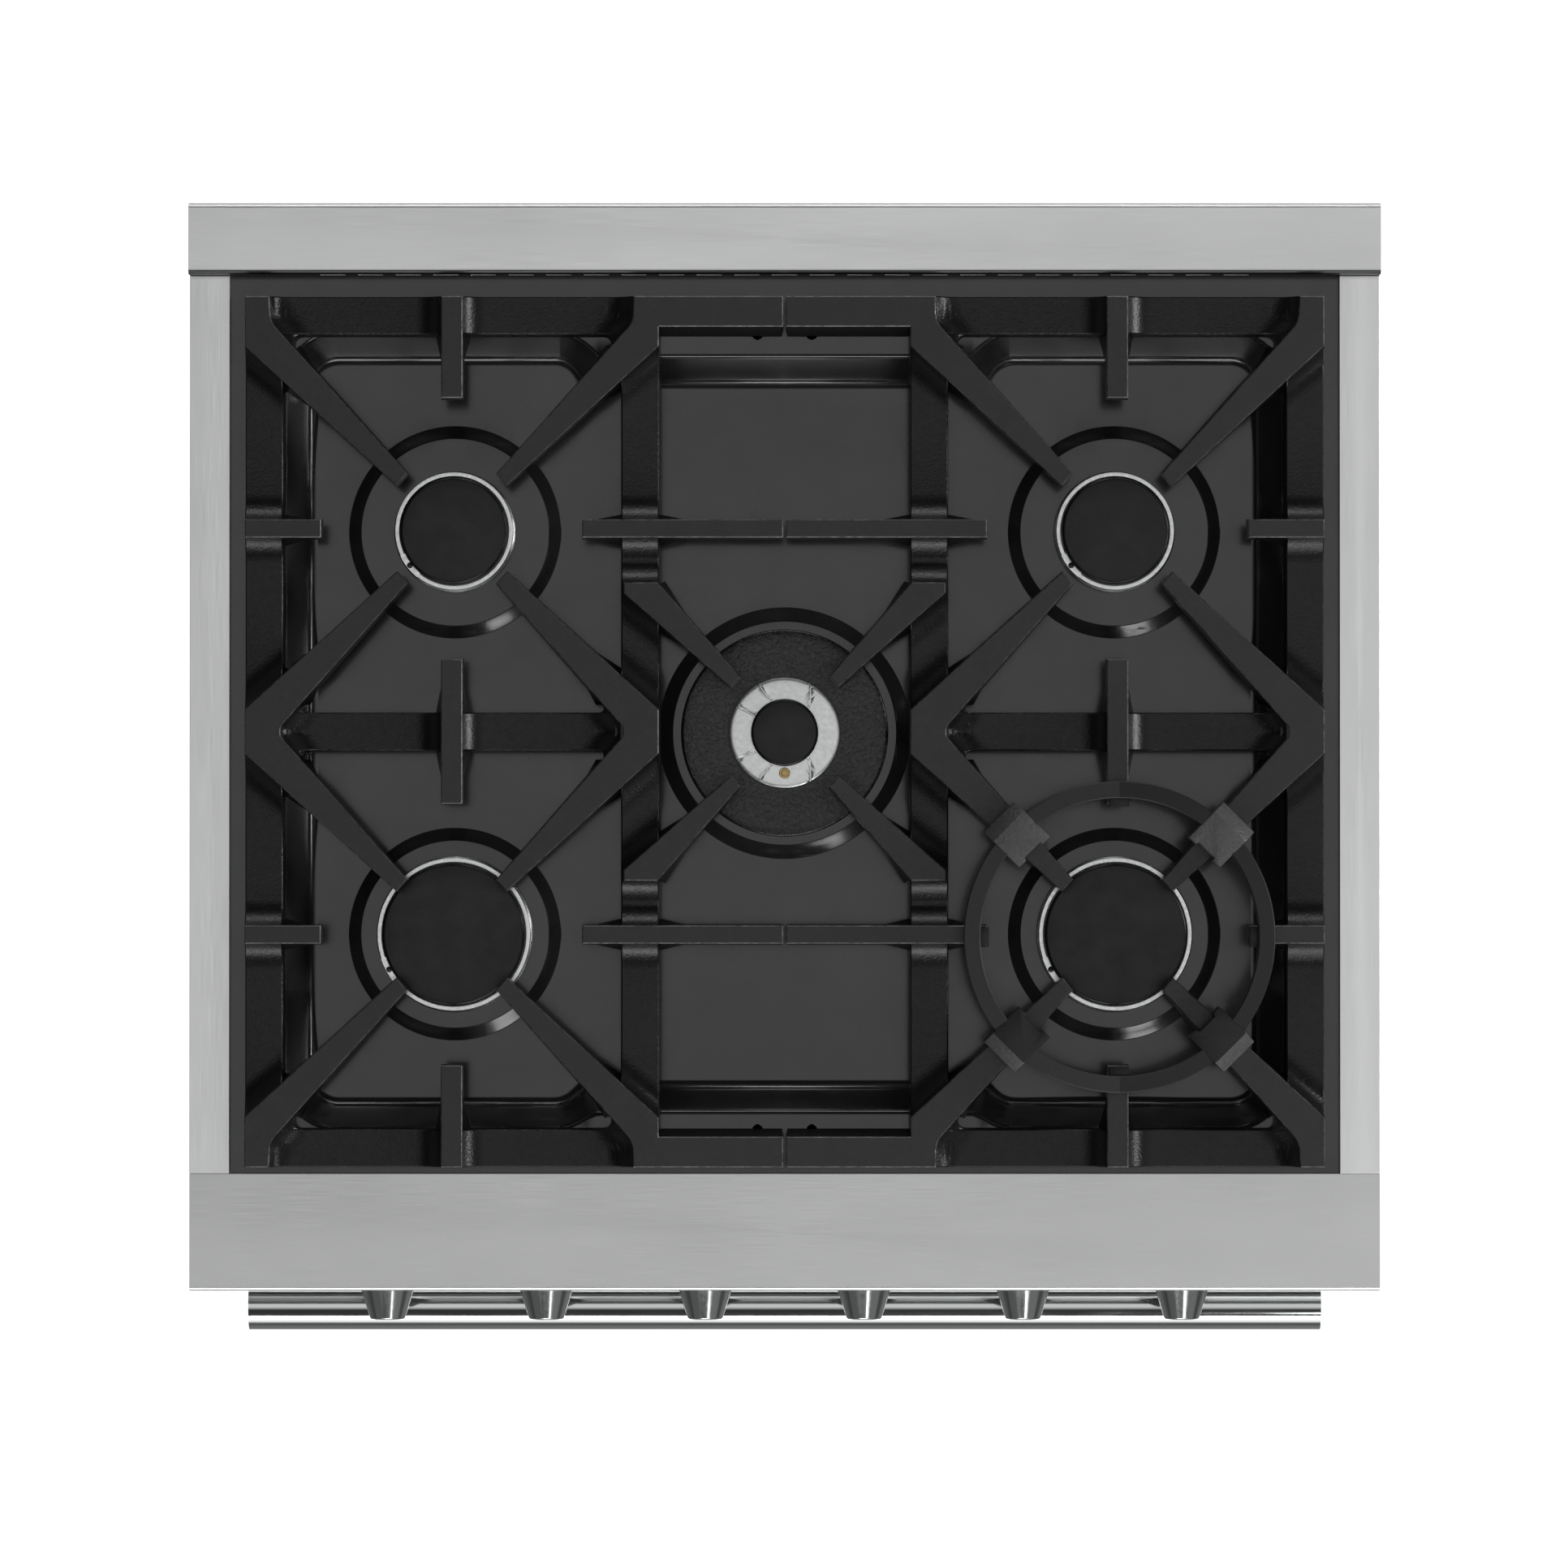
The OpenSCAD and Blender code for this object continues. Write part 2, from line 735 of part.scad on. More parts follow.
module hinge_brackets() {
    ear = 2;
    color("gray") mirrored() {
        for (x = [hinge_x - 9, hinge_x + 9 - ear])
            block([x, hinge_y - 7, hinge_z - 7], [x + ear, y_frame - 2, hinge_z + 7]);
        bar([hinge_x - 9, hinge_y, hinge_z], [hinge_x + 9, hinge_y, hinge_z], pin_r);
    }
}

// ---------------------------------------------------------------- door

module hinge_notches() {
    mirrored() block([hinge_x - 13, hinge_y - 14, door_z0 - cut], [hinge_x + 13, y_frame, hinge_z + 16]);
}

module door_skin() {
    y1 = door_y_back - 2;
    color("lightgray") difference() {
        block([-door_x, door_y_front, door_z0], [door_x, y1, door_z1]);
        block([-door_x + sheet, door_y_front + sheet, door_z0 + sheet],
              [door_x - sheet, y1 + cut, door_z1 - sheet]);
        block([-window_x, door_y_front - cut, window_z[0]], [window_x, door_y_front + 3, window_z[1]]);
        hinge_notches();
    }
}

module door_liner() {
    x = door_x - sheet - 0.5;
    z0 = door_z0 + sheet + 0.5;
    z1 = door_z1 - sheet - 0.5;
    color("silver") difference() {
        block([-x, door_y_back - 16, z0], [x, door_y_back, z1]);
        block([-x + sheet, door_y_back - 17, z0 + sheet], [x - sheet, door_y_back - sheet, z1 - sheet]);
        block([-inner_window_x, door_y_back - 3, inner_window_z[0]],
              [inner_window_x, door_y_back + cut, inner_window_z[1]]);
        hinge_notches();
    }
}

module door_glass() {
    pane = 4;
    lap = 12;
    y_out = door_y_front + sheet;
    y_in = door_y_back - sheet;
    color("black", 0.4) {
        block([-window_x - lap, y_out, window_z[0] - lap], [window_x + lap, y_out + pane, window_z[1] + lap]);
        block([-inner_window_x - lap, y_in - pane, inner_window_z[0] - lap],
              [inner_window_x + lap, y_in, inner_window_z[1] + lap]);
    }
}

module door_hinge_arms() {
    t = 8;
    color("gray") mirrored() difference() {
        union() {
            translate([hinge_x - t / 2, hinge_y, hinge_z]) rotate([0, 90, 0]) cylinder(h = t, r = 9);
            block([hinge_x - t / 2, hinge_y - 9, hinge_z], [hinge_x + t / 2, hinge_y + 3, hinge_z + 94]);
            block([hinge_x - 20, hinge_y - 9, hinge_z + 40], [hinge_x + 20, hinge_y - 6, hinge_z + 94]);
        }
        translate([hinge_x - t, hinge_y, hinge_z]) rotate([0, 90, 0]) cylinder(h = 2 * t, r = pin_r + 0.05);
    }
}

module handle_tube() {
    bore_r = handle_r - 1.8;
    color("gainsboro") {
        translate([-handle_len / 2, y_handle, handle_z]) rotate([0, 90, 0]) difference() {
            cylinder(h = handle_len, r = handle_r);
            translate([0, 0, -cut]) cylinder(h = handle_len + 2 * cut, r = bore_r);
        }
        mirrored() translate([handle_len / 2 - 4, y_handle, handle_z]) rotate([0, 90, 0])
            cylinder(h = 4, r = bore_r - 0.02);
    }
}

module handle_posts() {
    color("gainsboro") mirrored() difference() {
        translate([post_x, door_y_front, handle_z]) rotate([90, 0, 0])
            cylinder(h = door_y_front - y_handle - 2, r = 10);
        translate([post_x - 20, y_handle, handle_z]) rotate([0, 90, 0]) cylinder(h = 40, r = handle_r + 0.02);
    }
}

// ---------------------------------------------------------------- grates

// Flat-topped finger or junction, from its plan outline
module raised(points) {
    translate([0, 0, z_grate - finger_h]) linear_extrude(finger_h) polygon(points);
}

module rail(low, high) {
    z1 = z_grate - rail_drop;
    block([low[0], low[1], z1 - rail_h], [high[0], high[1], z1]);
}

// Diagonal finger from a corner of the frame to a burner, in the quadrant signs sx, sy
module corner_finger(sx, sy, corner_y) {
    points = [
        [-frame_half_w, corner_y], [-116, corner_y], [-115, 131.3], [-28.3, 35.2], [-35, 27.3],
        [-frame_half_w, 116]
    ];
    raised([for (p = points) [sx * p[0], sy * p[1]]]);
}

// V-shaped junction on a side rail, with a diagonal finger to each burner
module side_junction(sx) {
    reach = burner_y - 27.4;
    tip = burner_y - 35;
    points = [
        [-frame_half_w, 13.9], [-35, reach], [-28.3, tip], [-108.8, 3], [-108.8, -3], [-28.3, -tip],
        [-35, -reach], [-frame_half_w, -13.9]
    ];
    raised([for (p = points) [sx * p[0], p[1]]]);
}

// Diagonal finger from the inner rail to the center burner, sy is back or front
module center_finger(sy) {
    points = [
        [109.3, 94.8], [130.9, 94.8], [183, 35], [177.3, 28.3], [109.3, 88.1]
    ];
    raised([for (p = points) [p[0], sy * p[1]]]);
}

// One grate, drawn around the middle of its two burners; the other one is its mirror image
module grate_body() {
    w = frame_half_w;
    d = grate_half_d;
    tip = 83;
    ns_w = 6.8;
    ew_w = 5.8;
    reach_in = burner_x - grate_gap;
    bar_w = 19.5;
    rail([-w, -d], [-w + rail_w, d]);
    rail([w - rail_w, -d], [w, d]);
    rail([-w, d - rail_w], [w, d]);
    rail([-w, -d], [w, -d + rail_w]);
    rail([-w, -rail_w / 2], [w, rail_w / 2]);
    for (sy = [-1, 1]) {
        y_end = sy * d;
        y_bar = sy * (d - bar_w);
        block([w - 16, min(y_end, y_bar), z_grate - rail_drop - rail_h],
              [reach_in, max(y_end, y_bar), z_grate]);
        raised([[-ns_w, y_end], [ns_w, y_end], [ns_w, sy * (burner_y + tip)], [-ns_w, sy * (burner_y + tip)]]);
        raised([[-w, sy * burner_y - ew_w], [-tip, sy * burner_y - ew_w],
                [-tip, sy * burner_y + ew_w], [-w, sy * burner_y + ew_w]]);
        raised([[tip, sy * burner_y - ew_w], [reach_in, sy * burner_y - ew_w],
                [reach_in, sy * burner_y + ew_w], [tip, sy * burner_y + ew_w]]);
        for (sx = [-1, 1])
            translate([0, sy * burner_y, 0]) corner_finger(-sx, sy, d - burner_y);
        center_finger(sy);
    }
    middle = burner_y - tip;
    raised([[-ns_w, -middle], [ns_w, -middle], [ns_w, middle], [-ns_w, middle]]);
    side_junction(1);
    side_junction(-1);
    for (x = [-w + 10, w - 12], y = [-d + 12, d - 12])
        translate([x, y, z_rim]) cylinder(h = z_grate - rail_drop - rail_h - z_rim, r = 5);
}

module grate_left() {
    color("dimgray") translate([-burner_x, mid_y, 0]) grate_body();
}

module grate_right() {
    color("dimgray") mirror([1, 0, 0]) translate([-burner_x, mid_y, 0]) grate_body();
}

// Ring that holds a round-bottomed pan; its four lugs straddle the diagonal fingers
module wok_ring() {
    lug_w = 27.4;
    lug_in = 76;
    lug_out = 107.4;
    slope = 8;
    straddle = 8;
    notch = [2, 14.4];
    z0 = z_grate + 0.3;
    band = [[wok_inner_r, z0 + 8], [wok_outer_r, z0 + 8], [wok_outer_r, z0 + wok_h - 1], [wok_inner_r, z0 + wok_h]];
    lug = [
        [lug_in, z0 - straddle], [lug_out, z0 - straddle], [lug_out, z0 + wok_h - 8], [lug_out - slope, z0 + wok_h],
        [lug_in, z0 + wok_h]
    ];
    color("dimgray") translate([wok_pos[0], wok_pos[1], 0]) difference() {
        union() {
            rotate_extrude($fn = 96) polygon(band);
            for (a = [45:90:315]) rotate([0, 0, a]) along(-lug_w / 2, lug_w / 2, lug);
            for (a = [0:90:270]) rotate([0, 0, a])
                block([wok_inner_r - 5.5, -6.4, z0 + 8], [wok_inner_r + 2, 6.4, z0 + 14]);
        }
        for (a = [45:90:315]) rotate([0, 0, a]) {
            block([lug_in - cut, -10.5, z0 - straddle - cut], [lug_out + cut, 10.5, z0]);
            block([lug_in - cut, -notch[1] / 2, z0 - straddle - cut],
                  [lug_in + notch[0], notch[1] / 2, z0 + wok_h + cut]);
        }
    }
}

// ---------------------------------------------------------------- knobs and spindles

// Places a shape drawn along +Z so that it points out of the control panel
module at_panel(i) {
    translate([knob_x[i], y_panel, knob_z]) rotate([90, 0, 0]) children();
}

// D-shaped shaft section, drawn along +Z
module d_shaft(r, z0, z1, flat) {
    difference() {
        translate([0, 0, z0]) cylinder(h = z1 - z0, r = r);
        translate([-r - cut, flat, z0 - cut]) cube([2 * r + 2, 2 * r, z1 - z0 + 2]);
    }
}

module spindle(i) {
    color("goldenrod") at_panel(i) union() {
        translate([0, 0, -40]) cylinder(h = 38, r = spindle_r);
        d_shaft(spindle_r, -2, knob_gap + 23.5, 1.5);
    }
}

module knob(i) {
    h0 = knob_gap;
    h1 = h0 + knob_len;
    base_r = knob_front_r + knob_len * knob_taper;
    edge = 1.6;
    boss_r = 8;
    wall = 3.2;
    hollow = 12;
    body = concat(
        [[0, h0], [base_r, h0]],
        arc([knob_front_r - edge + 0.5, h1 - edge], edge, 17.8, 90),
        [[0, h1]]
    );
    cavity = [
        [boss_r, h0 - cut], [base_r - wall + cut * knob_taper, h0 - cut],
        [base_r - wall - hollow * knob_taper, h0 + hollow], [boss_r, h0 + hollow]
    ];
    color("gainsboro") at_panel(i) difference() {
        rotate_extrude($fn = 96) polygon(body);
        rotate_extrude() polygon(cavity);
        d_shaft(spindle_r + spindle_clear, h0 - cut, h0 + 28.5, 1.5 + spindle_clear);
        translate([-0.6, 3, h1 - 0.7]) cube([1.2, 6, 2]);
    }
}

module spindle_1() { spindle(0); }
module spindle_2() { spindle(1); }
module spindle_3() { spindle(2); }
module spindle_4() { spindle(3); }
module spindle_5() { spindle(4); }
module spindle_6() { spindle(5); }
module knob_1() { knob(0); }
module knob_2() { knob(1); }
module knob_3() { knob(2); }
module knob_4() { knob(3); }
module knob_5() { knob(4); }
module knob_6() { knob(5); }

// ---------------------------------------------------------------- nodes

side_panel_left();
side_panel_right();
back_panel();
base_tray();
front_frame();
kick_panel();
legs();
front_ledge();
control_panel();
rear_trim();
side_trim_left();
side_trim_right();
cooktop_pan();
burner_head_rear_left();
burner_head_rear_right();
burner_head_front_left();
burner_head_front_right();
burner_base_center();
burner_head_center();
burner_cap_rear_left();
burner_cap_rear_right();
burner_cap_front_left();
burner_cap_front_right();
burner_cap_center();
igniters();
gas_manifold();
gas_valves();
feed_tubes();
gas_regulator();
power_gland();
oven_liner();
oven_insulation();
oven_floor();
oven_burner();
rack_guides();
oven_rack_lower();
oven_rack_upper();
door_gasket();
hinge_brackets();
door_skin();
door_liner();
door_glass();
door_hinge_arms();
handle_tube();
handle_posts();
grate_left();
grate_right();
wok_ring();
spindle_1();
spindle_2();
spindle_3();
spindle_4();
spindle_5();
spindle_6();
knob_1();
knob_2();
knob_3();
knob_4();
knob_5();
knob_6();
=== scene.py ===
"""Looks of the freestanding gas range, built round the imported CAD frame.

Shapes are worked out in millimetres in the frame of the CAD model and scaled to metres when a piece is made.
Origin: centre of the footprint on the floor. +Z up, the front faces -Y.
"""

import json
import math

import bmesh
import bpy
import numpy as np
from mathutils import Matrix, Vector
from mathutils.geometry import delaunay_2d_cdt


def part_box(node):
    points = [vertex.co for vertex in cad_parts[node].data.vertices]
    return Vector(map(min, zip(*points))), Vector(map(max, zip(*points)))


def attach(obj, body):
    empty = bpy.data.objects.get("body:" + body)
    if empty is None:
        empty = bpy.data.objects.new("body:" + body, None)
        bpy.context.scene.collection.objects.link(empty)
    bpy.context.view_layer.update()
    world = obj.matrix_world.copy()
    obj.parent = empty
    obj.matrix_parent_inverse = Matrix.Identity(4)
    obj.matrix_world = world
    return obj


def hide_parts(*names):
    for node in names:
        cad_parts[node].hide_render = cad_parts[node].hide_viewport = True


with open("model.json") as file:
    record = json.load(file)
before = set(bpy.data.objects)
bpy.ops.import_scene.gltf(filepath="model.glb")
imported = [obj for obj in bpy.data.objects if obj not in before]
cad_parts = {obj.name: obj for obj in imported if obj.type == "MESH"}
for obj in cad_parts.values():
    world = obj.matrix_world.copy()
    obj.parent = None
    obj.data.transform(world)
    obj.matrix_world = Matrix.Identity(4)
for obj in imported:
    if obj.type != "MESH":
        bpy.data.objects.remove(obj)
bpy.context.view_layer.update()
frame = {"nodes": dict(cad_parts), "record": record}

MM = 0.001


def cad(node):
    """Lowest and highest corner of a CAD node, in millimetres."""
    low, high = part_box(node)
    return np.array(low) / MM, np.array(high) / MM


# ---------------------------------------------------------------- heights and places taken from the frame

TRIM_TOP = cad("side_trim_left")[1][2]
PAN_LOW, PAN_HIGH = cad("cooktop_pan")
RIM_Z = PAN_HIGH[2]
PAD_STEP = 3.6
PAN_DEPTH = 25.0 + PAD_STEP
FLOOR_Z = RIM_Z - 25.0
GRATE_LOW, GRATE_HIGH = cad("grate_left")
GRATE_TOP = GRATE_HIGH[2]
GRATE_GAP = -GRATE_HIGH[0]
MID_Y = (GRATE_LOW[1] + GRATE_HIGH[1]) / 2
GRATE_HALF_D = (GRATE_HIGH[1] - GRATE_LOW[1]) / 2
BURNER_X = 211.5
BURNER_Y = 129.0
KNOBS = [f"knob_{i}" for i in range(1, 7)]
# how far the polished knob stands back from the CAD's, and the angle between the lines of its scale
KNOB_SET_BACK = 1.8
SCALE_STEP = 15
BURNERS = {
    "rear_left": (-BURNER_X, MID_Y + BURNER_Y),
    "rear_right": (BURNER_X, MID_Y + BURNER_Y),
    "front_left": (-BURNER_X, MID_Y - BURNER_Y),
    "front_right": (BURNER_X, MID_Y - BURNER_Y),
}


# ---------------------------------------------------------------- materials


class Finish:
    """A procedural material in object coordinates, which are metres in the CAD frame."""

    def __init__(self, name, colour, **sockets):
        self.material = bpy.data.materials.new(name)
        self.material.use_nodes = True
        self.tree = self.material.node_tree
        self.shader = self.tree.nodes["Principled BSDF"]
        self.shader.inputs["Base Color"].default_value = (*colour, 1)
        for socket, value in sockets.items():
            self.shader.inputs[socket.replace("_", " ").title().replace("Ior", "IOR")].default_value = value
        self.coordinates = self.tree.nodes.new("ShaderNodeTexCoord").outputs["Object"]
        self.material.diffuse_color = (*colour, 1)

    def node(self, kind, **values):
        made = self.tree.nodes.new(kind)
        for key, value in values.items():
            setattr(made, key, value)
        return made

    def link(self, output, target):
        self.tree.links.new(output, target)

    def noise(self, size, stretch=(1, 1, 1), detail=3.0, distortion=0.0):
        """Noise whose blotches are about size metres, stretched along the axes."""
        mapping = self.node("ShaderNodeMapping")
        mapping.inputs["Scale"].default_value = [1 / (size * s) for s in stretch]
        self.link(self.coordinates, mapping.inputs["Vector"])
        made = self.node("ShaderNodeTexNoise")
        made.inputs["Scale"].default_value = 1.0
        made.inputs["Detail"].default_value = detail
        made.inputs["Distortion"].default_value = distortion
        self.link(mapping.outputs["Vector"], made.inputs["Vector"])
        return made.outputs["Fac"]

    def cells(self, size, feature="F1"):
        """Cells about size metres across: the distance from each cell's middle."""
        mapping = self.node("ShaderNodeMapping")
        mapping.inputs["Scale"].default_value = [1 / size] * 3
        self.link(self.coordinates, mapping.inputs["Vector"])
        made = self.node("ShaderNodeTexVoronoi", feature=feature)
        made.inputs["Scale"].default_value = 1.0
        self.link(mapping.outputs["Vector"], made.inputs["Vector"])
        return made

    def spread(self, source, low, high, out_low, out_high):
        """Maps a value from one range to another."""
        made = self.node("ShaderNodeMapRange")
        for name, value in zip(("From Min", "From Max", "To Min", "To Max"), (low, high, out_low, out_high)):
            made.inputs[name].default_value = value
        self.link(source, made.inputs["Value"])
        return made.outputs["Result"]

    def colours(self, source, stops):
        """Base colour from a value: stops are (position, colour)."""
        ramp = self.node("ShaderNodeValToRGB")
        elements = ramp.color_ramp.elements
        while len(elements) < len(stops):
            elements.new(0.5)
        for element, (place, colour) in zip(elements, stops):
            element.position = place
            element.color = (*colour, 1)
        self.link(source, ramp.inputs["Fac"])
        self.link(ramp.outputs["Color"], self.shader.inputs["Base Color"])
        return self

    def rough(self, source, low, high):
        """Roughness that follows a value."""
        self.link(self.spread(source, 0.3, 0.7, low, high), self.shader.inputs["Roughness"])
        return self

    def bumps(self, *layers):
        """Bump layers of (value, height in metres, strength), each on top of the last."""
        last = None
        for source, height, strength in layers:
            made = self.node("ShaderNodeBump")
            made.inputs["Distance"].default_value = height
            made.inputs["Strength"].default_value = strength
            self.link(source, made.inputs["Height"])
            if last is not None:
                self.link(last, made.inputs["Normal"])
            last = made.outputs["Normal"]
        self.link(last, self.shader.inputs["Normal"])
        return self


def shade(colour, factor):
    return tuple(min(1.0, c * factor) for c in colour)


def brushed(name, colour, roughness, along):
    """Brushed sheet steel: fine scratches along an axis, with slow clouding between them."""
    made = Finish(name, colour, metallic=1.0, roughness=roughness, anisotropic=0.35)
    stretch = [1.0, 1.0, 1.0]
    stretch["xyz".index(along)] = 90.0
    fine = made.noise(0.0004, stretch, 2.0)
    cloud = made.noise(0.13, (1, 1, 1), 2.0)
    mixed = made.node("ShaderNodeMix")
    mixed.inputs["Factor"].default_value = 0.5
    made.link(fine, mixed.inputs["A"])
    made.link(cloud, mixed.inputs["B"])
    made.colours(mixed.outputs["Result"], [(0.3, shade(colour, 0.94)), (0.7, shade(colour, 1.05))])
    made.rough(fine, roughness - 0.04, roughness + 0.05)
    return made.bumps((fine, 0.00002, 0.25)).material


def paint_fold_shade(material):
    """Painted shade: darkens the colour of a brushed sheet's faces that fold down towards the front."""
    tree = material.node_tree
    shader = tree.nodes["Principled BSDF"]
    ramp = shader.inputs["Base Color"].links[0].from_socket
    split = tree.nodes.new("ShaderNodeSeparateXYZ")
    tree.links.new(tree.nodes.new("ShaderNodeTexCoord").outputs["Normal"], split.inputs[0])
    # painted shade: the colour drops to 0.05 of itself on faces turned towards the front
    turned = tree.nodes.new("ShaderNodeMapRange")
    for name, value in zip(("From Min", "From Max", "To Min", "To Max"), (-0.3, -0.08, 0.05, 1.0)):
        turned.inputs[name].default_value = value
    tree.links.new(split.outputs["Y"], turned.inputs["Value"])
    scaled = tree.nodes.new("ShaderNodeVectorMath")
    scaled.operation = "SCALE"
    tree.links.new(ramp, scaled.inputs[0])
    tree.links.new(turned.outputs["Result"], scaled.inputs["Scale"])
    tree.links.new(scaled.outputs["Vector"], shader.inputs["Base Color"])
    return material


def speckled(name, colour, tones, rough, bump, **sockets):
    """A plain finish with blotches of two tones, uneven roughness and a fine grain.

    tones is (blotch size, dark, light) or None, rough is (blotch size, low, high) and bump is
    (grain size, height, strength).
    """
    made = Finish(name, colour, **sockets)
    if tones:
        size, dark, light = tones
        made.colours(made.noise(size), [(0.3, dark), (0.7, light)])
    made.rough(made.noise(rough[0]), *rough[1:])
    return made.bumps((made.noise(bump[0]), *bump[1:])).material


def make_materials():
    """Every look by its short name."""
    steel = (0.83, 0.84, 0.835)
    # the front ledge gets a darker copy of the trims' steel colour, painted shade, and a slightly rougher finish
    ledge_shaded_steel = (0.69, 0.698, 0.694)
    m = {
        "steel_x": brushed("brushed_steel_across", steel, 0.36, "x"),
        "steel_y": brushed("brushed_steel_deep", steel, 0.36, "y"),
        "steel_z": brushed("brushed_steel_upright", steel, 0.36, "z"),
        # painted shade: the same brushed steel as the trims, coloured darker
        "steel_ledge": brushed("brushed_steel_ledge_painted_shade", ledge_shaded_steel, 0.38, "x"),
        # rear trim steel with painted shade on its front fold
        "steel_rear_painted_shade": paint_fold_shade(brushed("brushed_steel_paint_fold_shade", steel, 0.36, "x")),
        "knob": speckled(
            "polished_knob", (0.42, 0.431, 0.427), None,
            (0.003, 0.14, 0.18), (0.0009, 0.00001, 0.15), metallic=1.0, roughness=0.13,
        ),
        "cap": speckled(
            "cap_enamel", (0.005, 0.005, 0.0051), (0.0012, (0.0035, 0.0035, 0.0036), (0.006, 0.006, 0.0062)),
            (0.014, 0.3, 0.38), (0.0009, 0.00003, 0.3), roughness=0.34, ior=1.42,
        ),
        "iron_top": speckled(
            "cast_iron_ground", (0.014, 0.014, 0.0142),
            (0.02, (0.0125, 0.0125, 0.0127), (0.0155, 0.0155, 0.0157)),
            (0.003, 0.35, 0.42), (0.0007, 0.00003, 0.3), roughness=0.38, ior=1.5,
        ),
        # worn chamfers, coloured lighter for wear and as a painted highlight along the grate's edges
        "iron_edge_wear_and_highlight": speckled(
            "cast_iron_worn_edge_painted_highlight", (0.2, 0.2, 0.2), (0.004, (0.05, 0.05, 0.05), (0.14, 0.14, 0.14)),
            (0.002, 0.26, 0.36), (0.0005, 0.00003, 0.3), roughness=0.3, metallic=0.6,
        ),
        "iron_band": speckled(
            "cast_iron_band", (0.012, 0.012, 0.0122),
            (0.0018, (0.011, 0.011, 0.0112), (0.0135, 0.0135, 0.0137)),
            (0.003, 0.38, 0.46), (0.0012, 0.00005, 0.3), roughness=0.42, ior=1.4,
        ),
        # lighter copy of the band's iron: painted light for the wok band's left half
        "iron_band_painted_light": speckled(
            "cast_iron_band_painted_light", (0.027, 0.027, 0.0273), (0.0018, (0.025, 0.025, 0.0253), (0.03, 0.03, 0.0303)),
            (0.003, 0.38, 0.46), (0.0012, 0.00006, 0.3), roughness=0.42, ior=1.4,
        ),
        "alu": speckled(
            "aluminium", (0.74, 0.75, 0.75), (0.003, (0.68, 0.69, 0.69), (0.78, 0.79, 0.79)),
            (0.002, 0.26, 0.36), (0.0005, 0.00003, 0.3), metallic=1.0, roughness=0.3,
        ),
        "satin": speckled(
            "aluminium_satin", (0.82, 0.835, 0.83), (0.004, (0.8, 0.815, 0.81), (0.85, 0.865, 0.86)),
            (0.002, 0.33, 0.4), (0.0006, 0.00003, 0.3), metallic=1.0, roughness=0.36,
        ),
        "brass": speckled(
            "brass", (0.58, 0.42, 0.2), (0.004, (0.46, 0.32, 0.14), (0.66, 0.5, 0.26)),
            (0.002, 0.26, 0.42), (0.0006, 0.00003, 0.3), metallic=1.0, roughness=0.32,
        ),
        "ceramic": speckled(
            "ceramic", (0.72, 0.7, 0.66), (0.001, (0.66, 0.64, 0.6), (0.78, 0.76, 0.72)),
            (0.001, 0.3, 0.42), (0.0004, 0.00002, 0.2), roughness=0.35,
        ),
        "plastic": speckled(
            "black_plastic", (0.025, 0.025, 0.027), None,
            (0.0015, 0.44, 0.58), (0.0007, 0.00006, 0.4), roughness=0.5,
        ),
        "ink": speckled(
            "dial_ink", (0.02, 0.021, 0.022), None,
            (0.001, 0.45, 0.56), (0.0003, 0.00001, 0.2), roughness=0.5,
        ),
    }

    chrome = Finish("polished_steel", (0.52, 0.535, 0.53), metallic=1.0, roughness=0.09)
    chrome.rough(chrome.noise(0.004, (9, 1, 1), 3), 0.07, 0.12)
    chrome.bumps((chrome.noise(0.0012, (20, 1, 1)), 0.00001, 0.12))
    m["chrome"] = chrome.material

    zinc = Finish("zinc_plate", (0.55, 0.57, 0.58), metallic=1.0, roughness=0.42)
    spangle = zinc.cells(0.012)
    zinc.colours(spangle.outputs["Color"], [(0.2, (0.49, 0.51, 0.52)), (0.8, (0.56, 0.58, 0.59))])
    zinc.rough(zinc.noise(0.006), 0.34, 0.5)
    zinc.bumps((spangle.outputs["Distance"], 0.00005, 0.2))
    m["zinc"] = zinc.material

    pan = Finish(
        "black_enamel", (0.03, 0.03, 0.0305), roughness=0.18, ior=1.5, coat_weight=0.25, coat_roughness=0.08
    )
    speck = pan.noise(0.0005, detail=2.0)
    cloud = pan.noise(0.09, detail=2.0)
    pan.colours(cloud, [(0.35, (0.015, 0.015, 0.0153)), (0.65, (0.0185, 0.0185, 0.0188))])
    pan.rough(pan.noise(0.02), 0.15, 0.2)
    pan.bumps((pan.noise(0.006, detail=1.0), 0.00002, 0.15), (speck, 0.000006, 0.1))
    m["pan"] = pan.material

    rough_enamel = Finish("textured_enamel", (0.006, 0.006, 0.0062), roughness=0.3, ior=1.5, coat_weight=0.15)
    pits = rough_enamel.noise(0.0026, detail=2.0, distortion=0.8)
    rough_enamel.colours(pits, [(0.35, (0.004, 0.004, 0.0042)), (0.7, (0.009, 0.009, 0.0093))])
    rough_enamel.rough(pits, 0.26, 0.36)
    rough_enamel.bumps((pits, 0.0009, 0.5), (rough_enamel.noise(0.0008), 0.0001, 0.3))
    m["rough_enamel"] = rough_enamel.material

    oven = Finish("oven_enamel", (0.018, 0.022, 0.032), roughness=0.28, coat_weight=0.3)
    flecks = oven.cells(0.0035)
    oven.colours(flecks.outputs["Distance"], [(0.1, (0.42, 0.44, 0.47)), (0.17, (0.018, 0.022, 0.032))])
    oven.rough(oven.noise(0.03), 0.22, 0.36)
    oven.bumps((oven.noise(0.004, detail=1.0), 0.00004, 0.2))
    m["oven"] = oven.material

